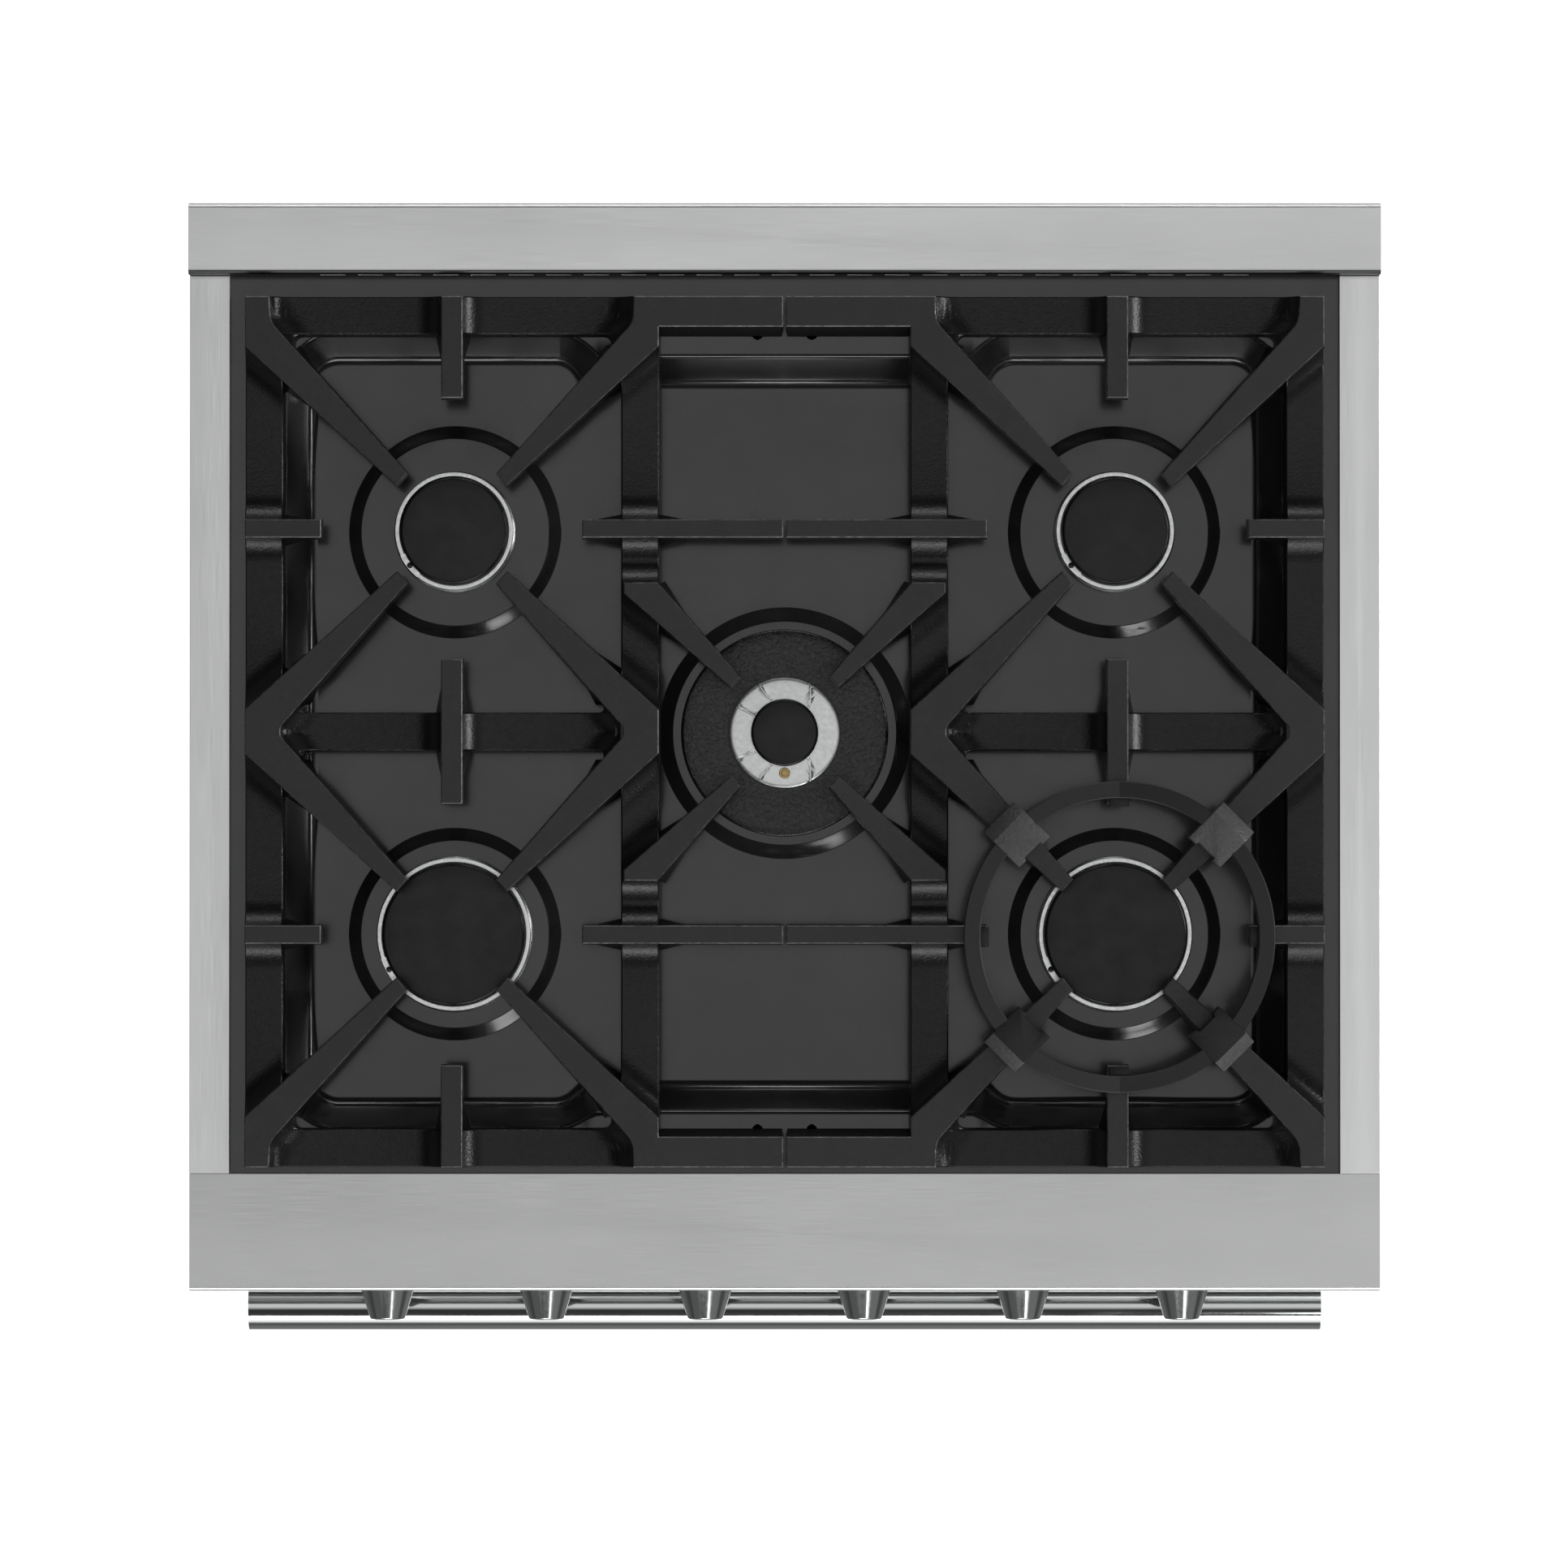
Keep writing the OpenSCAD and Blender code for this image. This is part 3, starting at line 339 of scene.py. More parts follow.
    iron = Finish("cast_iron", (0.005, 0.005, 0.0051), roughness=0.3, ior=1.37)
    grain = iron.noise(0.0016, detail=2.5, distortion=0.3)
    iron.colours(iron.noise(0.03), [(0.3, (0.004, 0.004, 0.0041)), (0.7, (0.006, 0.006, 0.0062))])
    iron.rough(iron.noise(0.004), 0.27, 0.33)
    iron.bumps((grain, 0.00035, 0.5), (iron.noise(0.0006), 0.00006, 0.4))
    m["iron"] = iron.material

    hammered = Finish("cast_iron_hammered", (0.05, 0.05, 0.0505), roughness=0.42)
    dents = hammered.noise(0.0022, detail=2.0, distortion=1.2)
    hammered.colours(dents, [(0.3, (0.06, 0.06, 0.0605)), (0.7, (0.082, 0.082, 0.0825))])
    hammered.rough(dents, 0.4, 0.5)
    hammered.bumps((dents, 0.0007, 0.6))
    m["hammered"] = hammered.material

    glass = Finish("oven_glass", (0.1, 0.105, 0.11), roughness=0.03, transmission_weight=0.85, ior=1.5)
    glass.rough(glass.noise(0.05), 0.02, 0.045)
    glass.bumps((glass.noise(0.08, detail=1.0), 0.00003, 0.05))
    m["glass"] = glass.material

    braid = Finish("gasket", (0.06, 0.06, 0.062), roughness=0.85)
    weave = braid.cells(0.0016)
    braid.colours(weave.outputs["Distance"], [(0.1, (0.1, 0.1, 0.102)), (0.7, (0.03, 0.03, 0.031))])
    braid.bumps((weave.outputs["Distance"], 0.0006, 0.7))
    m["gasket"] = braid.material

    wool = Finish("insulation", (0.62, 0.54, 0.32), roughness=0.95)
    fibres = wool.noise(0.004, (6, 1, 1), 4)
    wool.colours(fibres, [(0.3, (0.5, 0.42, 0.22)), (0.7, (0.7, 0.63, 0.42))])
    wool.bumps((fibres, 0.002, 0.7))
    m["wool"] = wool.material
    return m


LOOK = make_materials()


# ---------------------------------------------------------------- mesh helpers


def add_piece(name, parts, looks, body, stands_for=(), crease=32.0, pick=None):
    """Makes one object from (points in mm, faces) parts and rides it on a CAD body.

    looks names a material, or a list of them from which pick(middle of a face in mm, its normal) chooses.
    """
    points, faces = [], []
    for part_points, part_faces in parts:
        start = len(points)
        points.extend(tuple(float(c) * MM for c in p) for p in part_points)
        faces.extend(tuple(int(i) + start for i in face) for face in part_faces)
    mesh = bpy.data.meshes.new(name)
    mesh.from_pydata(points, [], faces)
    mesh.validate()
    for look in [looks] if isinstance(looks, str) else looks:
        mesh.materials.append(LOOK[look])
    for polygon in mesh.polygons:
        polygon.use_smooth = True
        if pick:
            polygon.material_index = pick(polygon.center / MM, polygon.normal)
    mesh.set_sharp_from_angle(angle=math.radians(crease))
    obj = bpy.data.objects.new(name, mesh)
    bpy.context.scene.collection.objects.link(obj)
    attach(obj, body)
    if stands_for:
        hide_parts(*stands_for)
    return obj


def arc(centre, radius, start, end, steps):
    """Points on an arc, angles in degrees."""
    angles = np.radians(np.linspace(start, end, steps + 1))
    return [(centre[0] + radius * math.cos(a), centre[1] + radius * math.sin(a)) for a in angles]


def lathe(profile, steps=96, closed=False):
    """Turns a profile of (radius, height) points round Z; it runs outwards along the bottom and then up."""
    points, rows = [], []
    for radius, height in profile:
        if radius < 1e-6:
            rows.append([len(points)] * steps)
            points.append((0.0, 0.0, height))
            continue
        rows.append(list(range(len(points), len(points) + steps)))
        for i in range(steps):
            angle = 2 * math.pi * i / steps
            points.append((radius * math.cos(angle), radius * math.sin(angle), height))
    faces = []
    pairs = list(zip(rows, rows[1:])) + ([(rows[-1], rows[0])] if closed else [])
    for low, high in pairs:
        for i in range(steps):
            j = (i + 1) % steps
            face = [low[i], low[j], high[j], high[i]]
            unique = list(dict.fromkeys(face))
            if len(unique) > 2:
                faces.append(unique)
    return points, faces


def placed(part, matrix):
    """A part moved by a 4x4 matrix, turned inside out if the matrix mirrors it."""
    points, faces = part
    moved = [tuple(matrix @ Vector(p)) for p in points]
    if matrix.determinant() < 0:
        faces = [tuple(reversed(face)) for face in faces]
    return moved, faces


def moved(part, x=0.0, y=0.0, z=0.0):
    return placed(part, Matrix.Translation((x, y, z)))


def mesh_part(build):
    """Runs build(bm) on an empty bmesh and returns it as a part."""
    bm = bmesh.new()
    build(bm)
    bmesh.ops.recalc_face_normals(bm, faces=bm.faces)
    bm.verts.index_update()
    points = [tuple(v.co) for v in bm.verts]
    faces = [tuple(v.index for v in face.verts) for face in bm.faces]
    bm.free()
    return points, faces


def soft_box(low, high, radius, segments=2):
    """A box with rounded edges."""

    def build(bm):
        bmesh.ops.create_cube(bm, size=1.0)
        size = np.array(high, float) - np.array(low, float)
        middle = (np.array(high, float) + np.array(low, float)) / 2
        for vert in bm.verts:
            vert.co = Vector(np.array(vert.co) * size + middle)
        edges = list(bm.edges)
        bmesh.ops.bevel(bm, geom=edges, offset=radius, segments=segments, profile=0.5, affect="EDGES")

    return mesh_part(build)


def sweep(path, radius, steps=20, cap=True):
    """A round bar along a list of points."""
    points, faces = [], []
    path = [Vector(p) for p in path]
    side = None
    for i, here in enumerate(path):
        before = path[max(i - 1, 0)]
        after = path[min(i + 1, len(path) - 1)]
        ahead = (after - before).normalized()
        if side is None:
            side = ahead.orthogonal().normalized()
        side = (side - ahead * side.dot(ahead)).normalized()
        up = ahead.cross(side)
        for k in range(steps):
            angle = 2 * math.pi * k / steps
            points.append(tuple(here + (side * math.cos(angle) + up * math.sin(angle)) * radius))
    for i in range(len(path) - 1):
        for k in range(steps):
            n = (k + 1) % steps
            faces.append((i * steps + k, i * steps + n, (i + 1) * steps + n, (i + 1) * steps + k))
    if cap:
        faces.append(tuple(reversed(range(steps))))
        faces.append(tuple(range(len(points) - steps, len(points))))
    return points, faces


# ---------------------------------------------------------------- plan geometry


def signed_depth(points, outline):
    """How far each point is inside a closed outline, negative outside it."""
    points = np.asarray(points, float)
    a = np.asarray(outline, float)
    b = np.roll(a, -1, axis=0)
    edge = b - a
    rel = points[:, None, :] - a[None]
    t = np.clip((rel * edge).sum(-1) / np.maximum((edge**2).sum(-1), 1e-12), 0, 1)
    distance = np.sqrt(((rel - t[..., None] * edge) ** 2).sum(-1)).min(1)
    crosses = (a[None, :, 1] > points[:, None, 1]) != (b[None, :, 1] > points[:, None, 1])
    with np.errstate(divide="ignore", invalid="ignore"):
        x = a[None, :, 0] + (points[:, None, 1] - a[None, :, 1]) * edge[None, :, 0] / edge[None, :, 1]
    inside = (crosses & (points[:, None, 0] < x)).sum(1) % 2 == 1
    return np.where(inside, distance, -distance)


def anticlockwise(outline):
    a = np.asarray(outline, float)
    b = np.roll(a, -1, axis=0)
    area = (a[:, 0] * b[:, 1] - b[:, 0] * a[:, 1]).sum()
    return a if area > 0 else a[::-1]


def offset_outline(outline, distance):
    """Outline moved outwards by distance, with mitred corners."""
    a = anticlockwise(outline)
    before = a - np.roll(a, 1, axis=0)
    after = np.roll(a, -1, axis=0) - a
    made = []
    for point, u, v in zip(a, before, after):
        u, v = u / np.linalg.norm(u), v / np.linalg.norm(v)
        normal = np.array([u[1] + v[1], -u[0] - v[0]])
        normal /= np.linalg.norm(normal)
        stretch = max(normal @ np.array([v[1], -v[0]]), 0.3)
        made.append(point + normal * distance / stretch)
    return np.array(made)


def rounded(outline, radii, steps=5):
    """Outline with some of its corners rounded; radii maps a corner's index to its radius."""
    count = len(outline)
    made = []
    for i, point in enumerate(outline):
        if i not in radii:
            made.append(tuple(point))
            continue
        here = np.array(point, float)
        u = np.array(outline[i - 1], float) - here
        v = np.array(outline[(i + 1) % count], float) - here
        u, v = u / np.linalg.norm(u), v / np.linalg.norm(v)
        made.extend(corner_arc(here, u, v, radii[i], steps))
    return made


def corner_arc(corner, u, v, radius, steps=5):
    """Arc that rounds the corner between the directions u and v."""
    half = math.acos(max(-1.0, min(1.0, float(u @ v)))) / 2
    middle = corner + (u + v) / np.linalg.norm(u + v) * radius / math.sin(half)
    start = corner + u * radius / math.tan(half) - middle
    end = corner + v * radius / math.tan(half) - middle
    first = math.atan2(start[1], start[0])
    turn = (math.atan2(end[1], end[0]) - first + math.pi) % (2 * math.pi) - math.pi
    angles = [first + turn * i / steps for i in range(steps + 1)]
    return [tuple(middle + radius * np.array([math.cos(a), math.sin(a)])) for a in angles]


def triangulate(lines, inside, tolerance=1e-3):
    """Triangles of the plan cut up by lines of (points, closed), kept where their middle is inside."""
    points, edges = [], []
    for line, closed in lines:
        start, count = len(points), len(line)
        points.extend(Vector((float(x), float(y))) for x, y in line)
        edges.extend((start + i, start + (i + 1) % count) for i in range(count if closed else count - 1))
    out = delaunay_2d_cdt(points, edges, [], 0, tolerance)
    plan = np.array([tuple(p) for p in out[0]])
    triangles = np.array([t for t in out[2] if len(t) == 3])
    triangles = triangles[inside(plan[triangles].mean(axis=1))]
    corners = plan[triangles]
    ab, ac = corners[:, 1] - corners[:, 0], corners[:, 2] - corners[:, 0]
    flipped = ab[:, 0] * ac[:, 1] - ab[:, 1] * ac[:, 0] < 0
    triangles[flipped] = triangles[flipped][:, ::-1]
    used, packed = np.unique(triangles, return_inverse=True)
    return plan[used], packed.reshape(triangles.shape)


def outline_normals(plan, triangles):
    """Boundary edges of a triangulated plan, and each boundary point's outward direction."""
    edges = {}
    for a, b, c in triangles:
        for e in ((a, b), (b, c), (c, a)):
            edges[e] = True
    border = [e for e in edges if (e[1], e[0]) not in edges]
    normals = np.zeros_like(plan)
    for a, b in border:
        along = plan[b] - plan[a]
        length = np.linalg.norm(along)
        if length > 1e-9:
            outward = np.array([along[1], -along[0]]) / length
            normals[a] += outward
            normals[b] += outward
    length = np.linalg.norm(normals, axis=1)
    on_border = length > 1e-9
    normals[on_border] /= length[on_border][:, None]
    return border, normals, on_border


def solid(plan, triangles, top, bottom, draft):
    """Closed solid over a triangulated plan; its lower outline is moved out by the draft."""
    border, normals, on_border = outline_normals(plan, triangles)
    lower = plan + normals * np.where(on_border, draft, 0.0)[:, None]
    count = len(plan)
    points = [(x, y, z) for (x, y), z in zip(plan, top)] + [(x, y, z) for (x, y), z in zip(lower, bottom)]
    faces = [tuple(t) for t in triangles]
    faces += [(c + count, b + count, a + count) for a, b, c in triangles]
    faces += [(a, a + count, b + count, b) for a, b in border]
    return points, faces


# ---------------------------------------------------------------- grates

FRAME_HALF_W = 131.5
RAIL_W = 23.8
RAIL_DROP = 9.0
RAIL_H = 19.0
FINGER_H = 17.0
EDGE = 0.7
GUSSET = 3.6
GUSSET_REACH = 16.0
FILLET_R = 20.0
FILLET_REACH = math.sqrt(FILLET_R**2 - (FILLET_R - RAIL_DROP) ** 2)
FINGER_TIP = 83.0
NS_HALF = 6.8
EW_HALF = 5.8
BAR_W = 19.5


def rectangle(x0, y0, x1, y1):
    return [(x0, y0), (x1, y0), (x1, y1), (x0, y1)]


def raised_shapes():
    """Flat tops of one grate, around the middle of its two burners; the inner side is at +X."""
    w, d = FRAME_HALF_W, GRATE_HALF_D
    corner_y = d - BURNER_Y
    reach = BURNER_X - GRATE_GAP
    middle = BURNER_Y - FINGER_TIP
    corner = [(-w, corner_y), (-116, corner_y), (-115, 131.3), (-28.3, 35.2), (-35, 27.3), (-w, 116)]
    corner = rounded(corner, {2: 14.0})
    junction = [
        (-w, 13.9), (-35, BURNER_Y - 27.4), (-28.3, BURNER_Y - 35), (-108.8, 3), (-108.8, -3),
        (-28.3, 35 - BURNER_Y), (-35, 27.4 - BURNER_Y), (-w, -13.9),
    ]
    junction = rounded(junction, {3: 5.0, 4: 5.0}, 4)
    centre = [(109.3, 94.8), (130.9, 94.8), (183, 35), (177.3, 28.3), (109.3, 88.1)]
    shapes = [rectangle(-NS_HALF, -middle, NS_HALF, middle)]
    for sx in (-1, 1):
        shapes.append([(sx * x, y) for x, y in junction])
    for sy in (-1, 1):
        shapes.append([(x, sy * y) for x, y in centre])
        for sx in (-1, 1):
            shapes.append([(sx * x, sy * (y + BURNER_Y)) for x, y in corner])
        shapes.append(rectangle(-NS_HALF, *sorted((sy * d, sy * (BURNER_Y + FINGER_TIP)))[:1], NS_HALF,
                                sorted((sy * d, sy * (BURNER_Y + FINGER_TIP)))[1]))
        y0, y1 = sy * BURNER_Y - EW_HALF, sy * BURNER_Y + EW_HALF
        shapes.append(rectangle(-w, y0, -FINGER_TIP, y1))
        shapes.append(rectangle(FINGER_TIP, y0, reach, y1))
        shapes.append(rectangle(w - 16, min(sy * d, sy * (d - BAR_W)), reach, max(sy * d, sy * (d - BAR_W))))
    return [anticlockwise(s) for s in shapes]


def rail_shapes():
    """Dropped rails of one grate, with the rounded corners where they meet the diagonals."""
    w, d = FRAME_HALF_W, GRATE_HALF_D
    rails = [
        rectangle(-w, -d, -w + RAIL_W, d), rectangle(w - RAIL_W, -d, w, d), rectangle(-w, d - RAIL_W, w, d),
        rectangle(-w, -d, w, -d + RAIL_W), rectangle(-w, -RAIL_W / 2, w, RAIL_W / 2),
    ]
    slope = np.array([86.7, -96.1]) / np.hypot(86.7, 96.1)
    y = d - RAIL_W
    x = -115 + (BURNER_Y + 131.3 - y) * 86.7 / 96.1
    rise = np.array([80.5, 91.0]) / np.hypot(80.5, 91.0)
    x_mid = -108.8 + (RAIL_W / 2 - 3) * 80.5 / 91.0
    patches = [
        corner_patch((x, y), np.array([1.0, 0.0]), slope, 5.5),
        corner_patch((x_mid, RAIL_W / 2), np.array([1.0, 0.0]), rise, 3.5),
    ]
    for patch in patches:
        for sx in (-1, 1):
            for sy in (-1, 1):
                rails.append([(sx * px, sy * py) for px, py in patch])
    return [anticlockwise(r) for r in rails]


def corner_patch(corner, u, v, radius):
    """Web that fills a corner up to a rounding arc, and reaches a little under both of its sides."""
    corner = np.array(corner, float)
    back = corner - (u + v) / np.linalg.norm(u + v) * 1.5
    return [tuple(back)] + corner_arc(corner, u, v, radius, 7)


def fillet_height(distance):
    """Height of the concave fillet above a rail, at a distance from a raised side."""
    d = np.clip(distance, 0, FILLET_REACH)
    return FILLET_R - np.sqrt(np.maximum(FILLET_R**2 - (FILLET_REACH - d) ** 2, 0))


def clipped(a, b, box):
    """Part of the segment a-b inside a rectangle (x0, y0, x1, y1), or None."""
    a, b = np.array(a, float), np.array(b, float)
    along = b - a
    low, high = 0.0, 1.0
    for axis in (0, 1):
        if abs(along[axis]) < 1e-9:
            if not box[axis] <= a[axis] <= box[axis + 2]:
                return None
            continue
        t0, t1 = sorted(((box[axis] - a[axis]) / along[axis], (box[axis + 2] - a[axis]) / along[axis]))
        low, high = max(low, t0), min(high, t1)
    if high - low < 1e-6:
        return None
    return tuple(a + along * low), tuple(a + along * high)


def deepest(points, shapes):
    """How far each point is inside the nearest of several outlines, negative outside them all."""
    return np.max([signed_depth(points, shape) for shape in shapes], axis=0)


def grate_lines(raised, rails):
    """Plan lines of a grate: outlines, edge chamfers, fillet contours and gusset steps."""
    lines = [(s, True) for s in raised + rails]
    lines += [(offset_outline(s, -EDGE), True) for s in raised + rails[:5]]
    boxes = [(*r.min(axis=0), *r.max(axis=0)) for r in rails[:5]]
    for shape in raised:
        for distance in (1.6, 3.6, 6.0, 9.0, 12.5, FILLET_REACH):
            outer = offset_outline(shape, distance)
            for a, b in zip(outer, np.roll(outer, -1, axis=0)):
                lines += [(part, False) for part in (clipped(a, b, box) for box in boxes) if part]
    for box in boxes:
        for step in (0.4, 4.0, 8.0, 12.0, GUSSET_REACH):
            grown = [box[0] - step, box[1] - step, box[2] + step, box[3] + step]
            outline = rectangle(*grown)
            for shape in raised:
                cuts = (*shape.min(axis=0), *shape.max(axis=0))
                for a, b in zip(outline, outline[1:] + outline[:1]):
                    part = clipped(a, b, cuts)
                    if part:
                        lines.append((part, False))
    for x in (FRAME_HALF_W + 0.5, BURNER_X - GRATE_GAP - 0.8):
        lines.append((((x, -GRATE_HALF_D), (x, GRATE_HALF_D)), False))
    return lines


def grate_part():
    """One grate as a closed casting: crisp raised fingers that run down into dropped rails in fillets."""
    raised, rails = raised_shapes(), rail_shapes()
    lines = grate_lines(raised, rails)
    plan, triangles = triangulate(lines, lambda p: deepest(p, raised + rails) > 1e-3, 0.02)
    in_raised = deepest(plan, raised)
    in_rail = deepest(plan, rails)
    in_any = np.maximum(in_raised, in_rail)
    heights = np.array([fillet_height(-np.minimum(signed_depth(plan, s), 0)) for s in raised])
    blend = np.minimum((heights**6).sum(axis=0) ** (1 / 6), RAIL_DROP)
    rail_top = GRATE_TOP - RAIL_DROP + blend * (1 - EDGE / RAIL_DROP) - np.clip(EDGE - in_any, 0, EDGE)
    raised_top = GRATE_TOP - np.clip(EDGE - in_raised, 0, EDGE)
    top = np.where(in_raised > -0.02, raised_top, rail_top)
    off_rail = np.maximum(-in_rail, 0)
    bars = [s for s in raised if s[:, 0].min() > FRAME_HALF_W - 20 and abs(s[:, 1]).max() > GRATE_HALF_D - 1]
    low = np.clip(np.minimum(off_rail, np.maximum(-deepest(plan, bars), 0)) / 14.0, 0, 1)
    low = low * low * (3 - 2 * low)
    bottom = GRATE_TOP - RAIL_DROP - RAIL_H + low * (RAIL_DROP + RAIL_H - FINGER_H)
    fade = np.clip(1 - (off_rail - 0.4) / (GUSSET_REACH - 0.4), 0, 1)
    draft = 0.7 + GUSSET * fade * (off_rail > 0.3)
    in_bar = plan[:, 0] >= FRAME_HALF_W
    bar_side = (np.abs(np.abs(plan[:, 1]) - (GRATE_HALF_D - BAR_W)) < 0.05) & in_bar
    bar_back = (np.abs(np.abs(plan[:, 1]) - GRATE_HALF_D) < 0.05) & in_bar
    draft = np.where(bar_side, RAIL_W - BAR_W, np.where(bar_back, 0.7, draft))
    draft = draft * np.clip((BURNER_X - GRATE_GAP - plan[:, 0]) / 0.8, 0, 1)
    feet = []
    for x in (-FRAME_HALF_W + 10, FRAME_HALF_W - 12):
        for y in (-GRATE_HALF_D + 12, GRATE_HALF_D - 12):
            top_z = GRATE_TOP - RAIL_DROP - RAIL_H + 0.5
            profile = [(0, RIM_Z), (4.4, RIM_Z), (5, RIM_Z + 0.6), (5, top_z), (0, top_z)]
            feet.append(moved(lathe(profile, 24), x, y))
    return [solid(plan, triangles, top, bottom, draft)] + feet


def iron_face(middle, normal):
    """Ground flat tops, worn chamfers along their edges whose lighter colour is wear and a painted highlight, and
    rough casting below.
    """
    if middle[2] > GRATE_TOP - 0.05:
        return 0
    if middle[2] > GRATE_TOP - EDGE and 0.3 < normal[2] < 0.95:
        return 1
    return 2


def add_grates():
    parts = grate_part()
    left = [moved(p, -BURNER_X, MID_Y) for p in parts]
    right = [placed(p, Matrix.Scale(-1, 4, (1, 0, 0))) for p in left]
    looks = ["iron_top", "iron_edge_wear_and_highlight", "iron"]
    add_piece("casting_left", left, looks, "left_grate", ["grate_left"], pick=iron_face)
    add_piece("casting_right", right, looks, "right_grate", ["grate_right"], pick=iron_face)


# ---------------------------------------------------------------- cooktop pan

WELL_FLARE = 15.0
WELLS = [
    (130.0, MID_Y - 237.7, 304.0, MID_Y + 240.1),
    (-304.0, MID_Y - 237.7, -130.0, MID_Y + 240.1),
    (-160.0, MID_Y - 226.8, 160.0, MID_Y + 225.1),
]
WELL_R = 18.0
FLOOR_FILLET = 8.0
RIM_ROUND = 3.5
SIDE_PAD = (59.8, 68.4)
CENTRE_PAD = (71.4, 81.0)


def well_outline(well, grow):
    """Rounded rectangle of a well's floor, grown by grow."""
    x0, y0, x1, y1 = well
    r = WELL_R + grow
    return (
        arc((x1 - WELL_R, y1 - WELL_R), r, 0, 90, 10) + arc((x0 + WELL_R, y1 - WELL_R), r, 90, 180, 10)
        + arc((x0 + WELL_R, y0 + WELL_R), r, 180, 270, 10) + arc((x1 - WELL_R, y0 + WELL_R), r, 270, 360, 10)
    )


def well_distance(points, well):
    """Distance outside the floor of a well, negative inside it."""
    x0, y0, x1, y1 = well
    middle = np.array([(x0 + x1) / 2, (y0 + y1) / 2])
    half = np.array([(x1 - x0) / 2 - WELL_R, (y1 - y0) / 2 - WELL_R])
    q = np.abs(points - middle) - half
    outside = np.sqrt((np.maximum(q, 0) ** 2).sum(1))
    return outside + np.minimum(q.max(1), 0) - WELL_R


def wall_height(distance):
    """Section of the drawn wall: floor, fillet, slope, rounded edge and rim."""
    slope = PAN_DEPTH / WELL_FLARE
    angle = math.atan(slope)
    foot = FLOOR_FILLET * math.tan(angle / 2)
    head = RIM_ROUND * math.tan(angle / 2)
    d = np.asarray(distance, float)
    low_end = foot * math.cos(angle)
    high_start = WELL_FLARE - head * math.cos(angle)
    fillet = FLOOR_FILLET - np.sqrt(np.maximum(FLOOR_FILLET**2 - np.clip(d + foot, 0, None) ** 2, 0))
    to_rim = np.clip(WELL_FLARE + head - d, 0, None)
    edge = PAN_DEPTH - RIM_ROUND + np.sqrt(np.maximum(RIM_ROUND**2 - to_rim**2, 0))
    upper = np.where(d < high_start, slope * d, edge)
    height = np.where(d < -foot, 0.0, np.where(d < low_end, fillet, upper))
    return np.where(d > WELL_FLARE + head, PAN_DEPTH, height)


def pad_height(points, centre, radii):
    """Height of the raised pad round a burner: a straight slope between two radii, with soft edges."""
    r = np.hypot(points[:, 0] - centre[0], points[:, 1] - centre[1])
    soft = 0.4
    slope = PAD_STEP / (radii[1] - radii[0] - 2 * soft)

    def climb(distance):
        return np.where(distance < soft, np.maximum(distance + soft, 0) ** 2 / (4 * soft), distance)

    return slope * (climb(radii[1] - soft - r) - climb(radii[0] + soft - r))


def add_pan():
    steps = [-4.8, -4.0, -3.0, -2.0, -1.1, -0.3, 0.5, 1.2, 1.8]
    steps += [2.6, 5.0, 9.0, 13.2, 14.0, 14.6, 15.2, 16.0, 17.2]
    lines = [(well_outline(w, s), True) for w in WELLS for s in steps]
    holes = []
    rings = [(place, SIDE_PAD) for place in BURNERS.values()] + [((0.0, MID_Y), CENTRE_PAD)]
    for place, radii in rings:
        across = (0.0, 0.27, 0.54, 0.8)
        for r in [radii[0] + t for t in across] + [sum(radii) / 2] + [radii[1] - t for t in across]:
            lines.append((arc(place, r, 0, 360, 120)[:-1], True))
        lines.append((arc(place, 22.0, 0, 360, 48)[:-1], True))
        holes.append((place, 22.0))
    for x in (-17.3, 17.3):
        for y in (MID_Y - 253.7, MID_Y + 254.3):
            lines.append((arc((x, y), 3.6, 0, 360, 24)[:-1], True))
            holes.append(((x, y), 3.6))
    x1 = PAN_HIGH[0]
    lines.append((rectangle(-x1, PAN_LOW[1], x1, PAN_HIGH[1]), True))
    for x in np.arange(-360, 361, 24):
        lines.append((((x, PAN_LOW[1]), (x, PAN_HIGH[1])), False))
    for y in np.arange(PAN_LOW[1] + 20, PAN_HIGH[1], 24):
        lines.append((((-x1, y), (x1, y)), False))

    def inside(points):
        keep = (np.abs(points[:, 0]) < x1) & (points[:, 1] > PAN_LOW[1]) & (points[:, 1] < PAN_HIGH[1])
        for centre, radius in holes:
            keep &= np.hypot(points[:, 0] - centre[0], points[:, 1] - centre[1]) > radius - 0.2
        return keep

    plan, triangles = triangulate(lines, inside, 0.02)
    distances = np.array([well_distance(plan, w) for w in WELLS])
    soft = 2.5
    distance = -soft * np.log(np.exp(-np.clip(distances, -60, 60) / soft).sum(axis=0))
    top = RIM_Z - PAN_DEPTH + wall_height(distance)
    for place, radii in rings:
        top += pad_height(plan, place, radii)
    sheet = 1.5
    bottom = top - sheet
    part = solid(plan, triangles, top, bottom, np.zeros(len(plan)))
    add_piece("drawn_pan", [part], "pan", "chassis", ["cooktop_pan"], 50)


# ---------------------------------------------------------------- burners

IGNITER_ANGLES = {"rear": 218.0, "front": 208.5}
HEAD_RADII = {"rear": 37.8, "front": 49.0}
HEAD_H = 19.0
NECK_R = 21.5


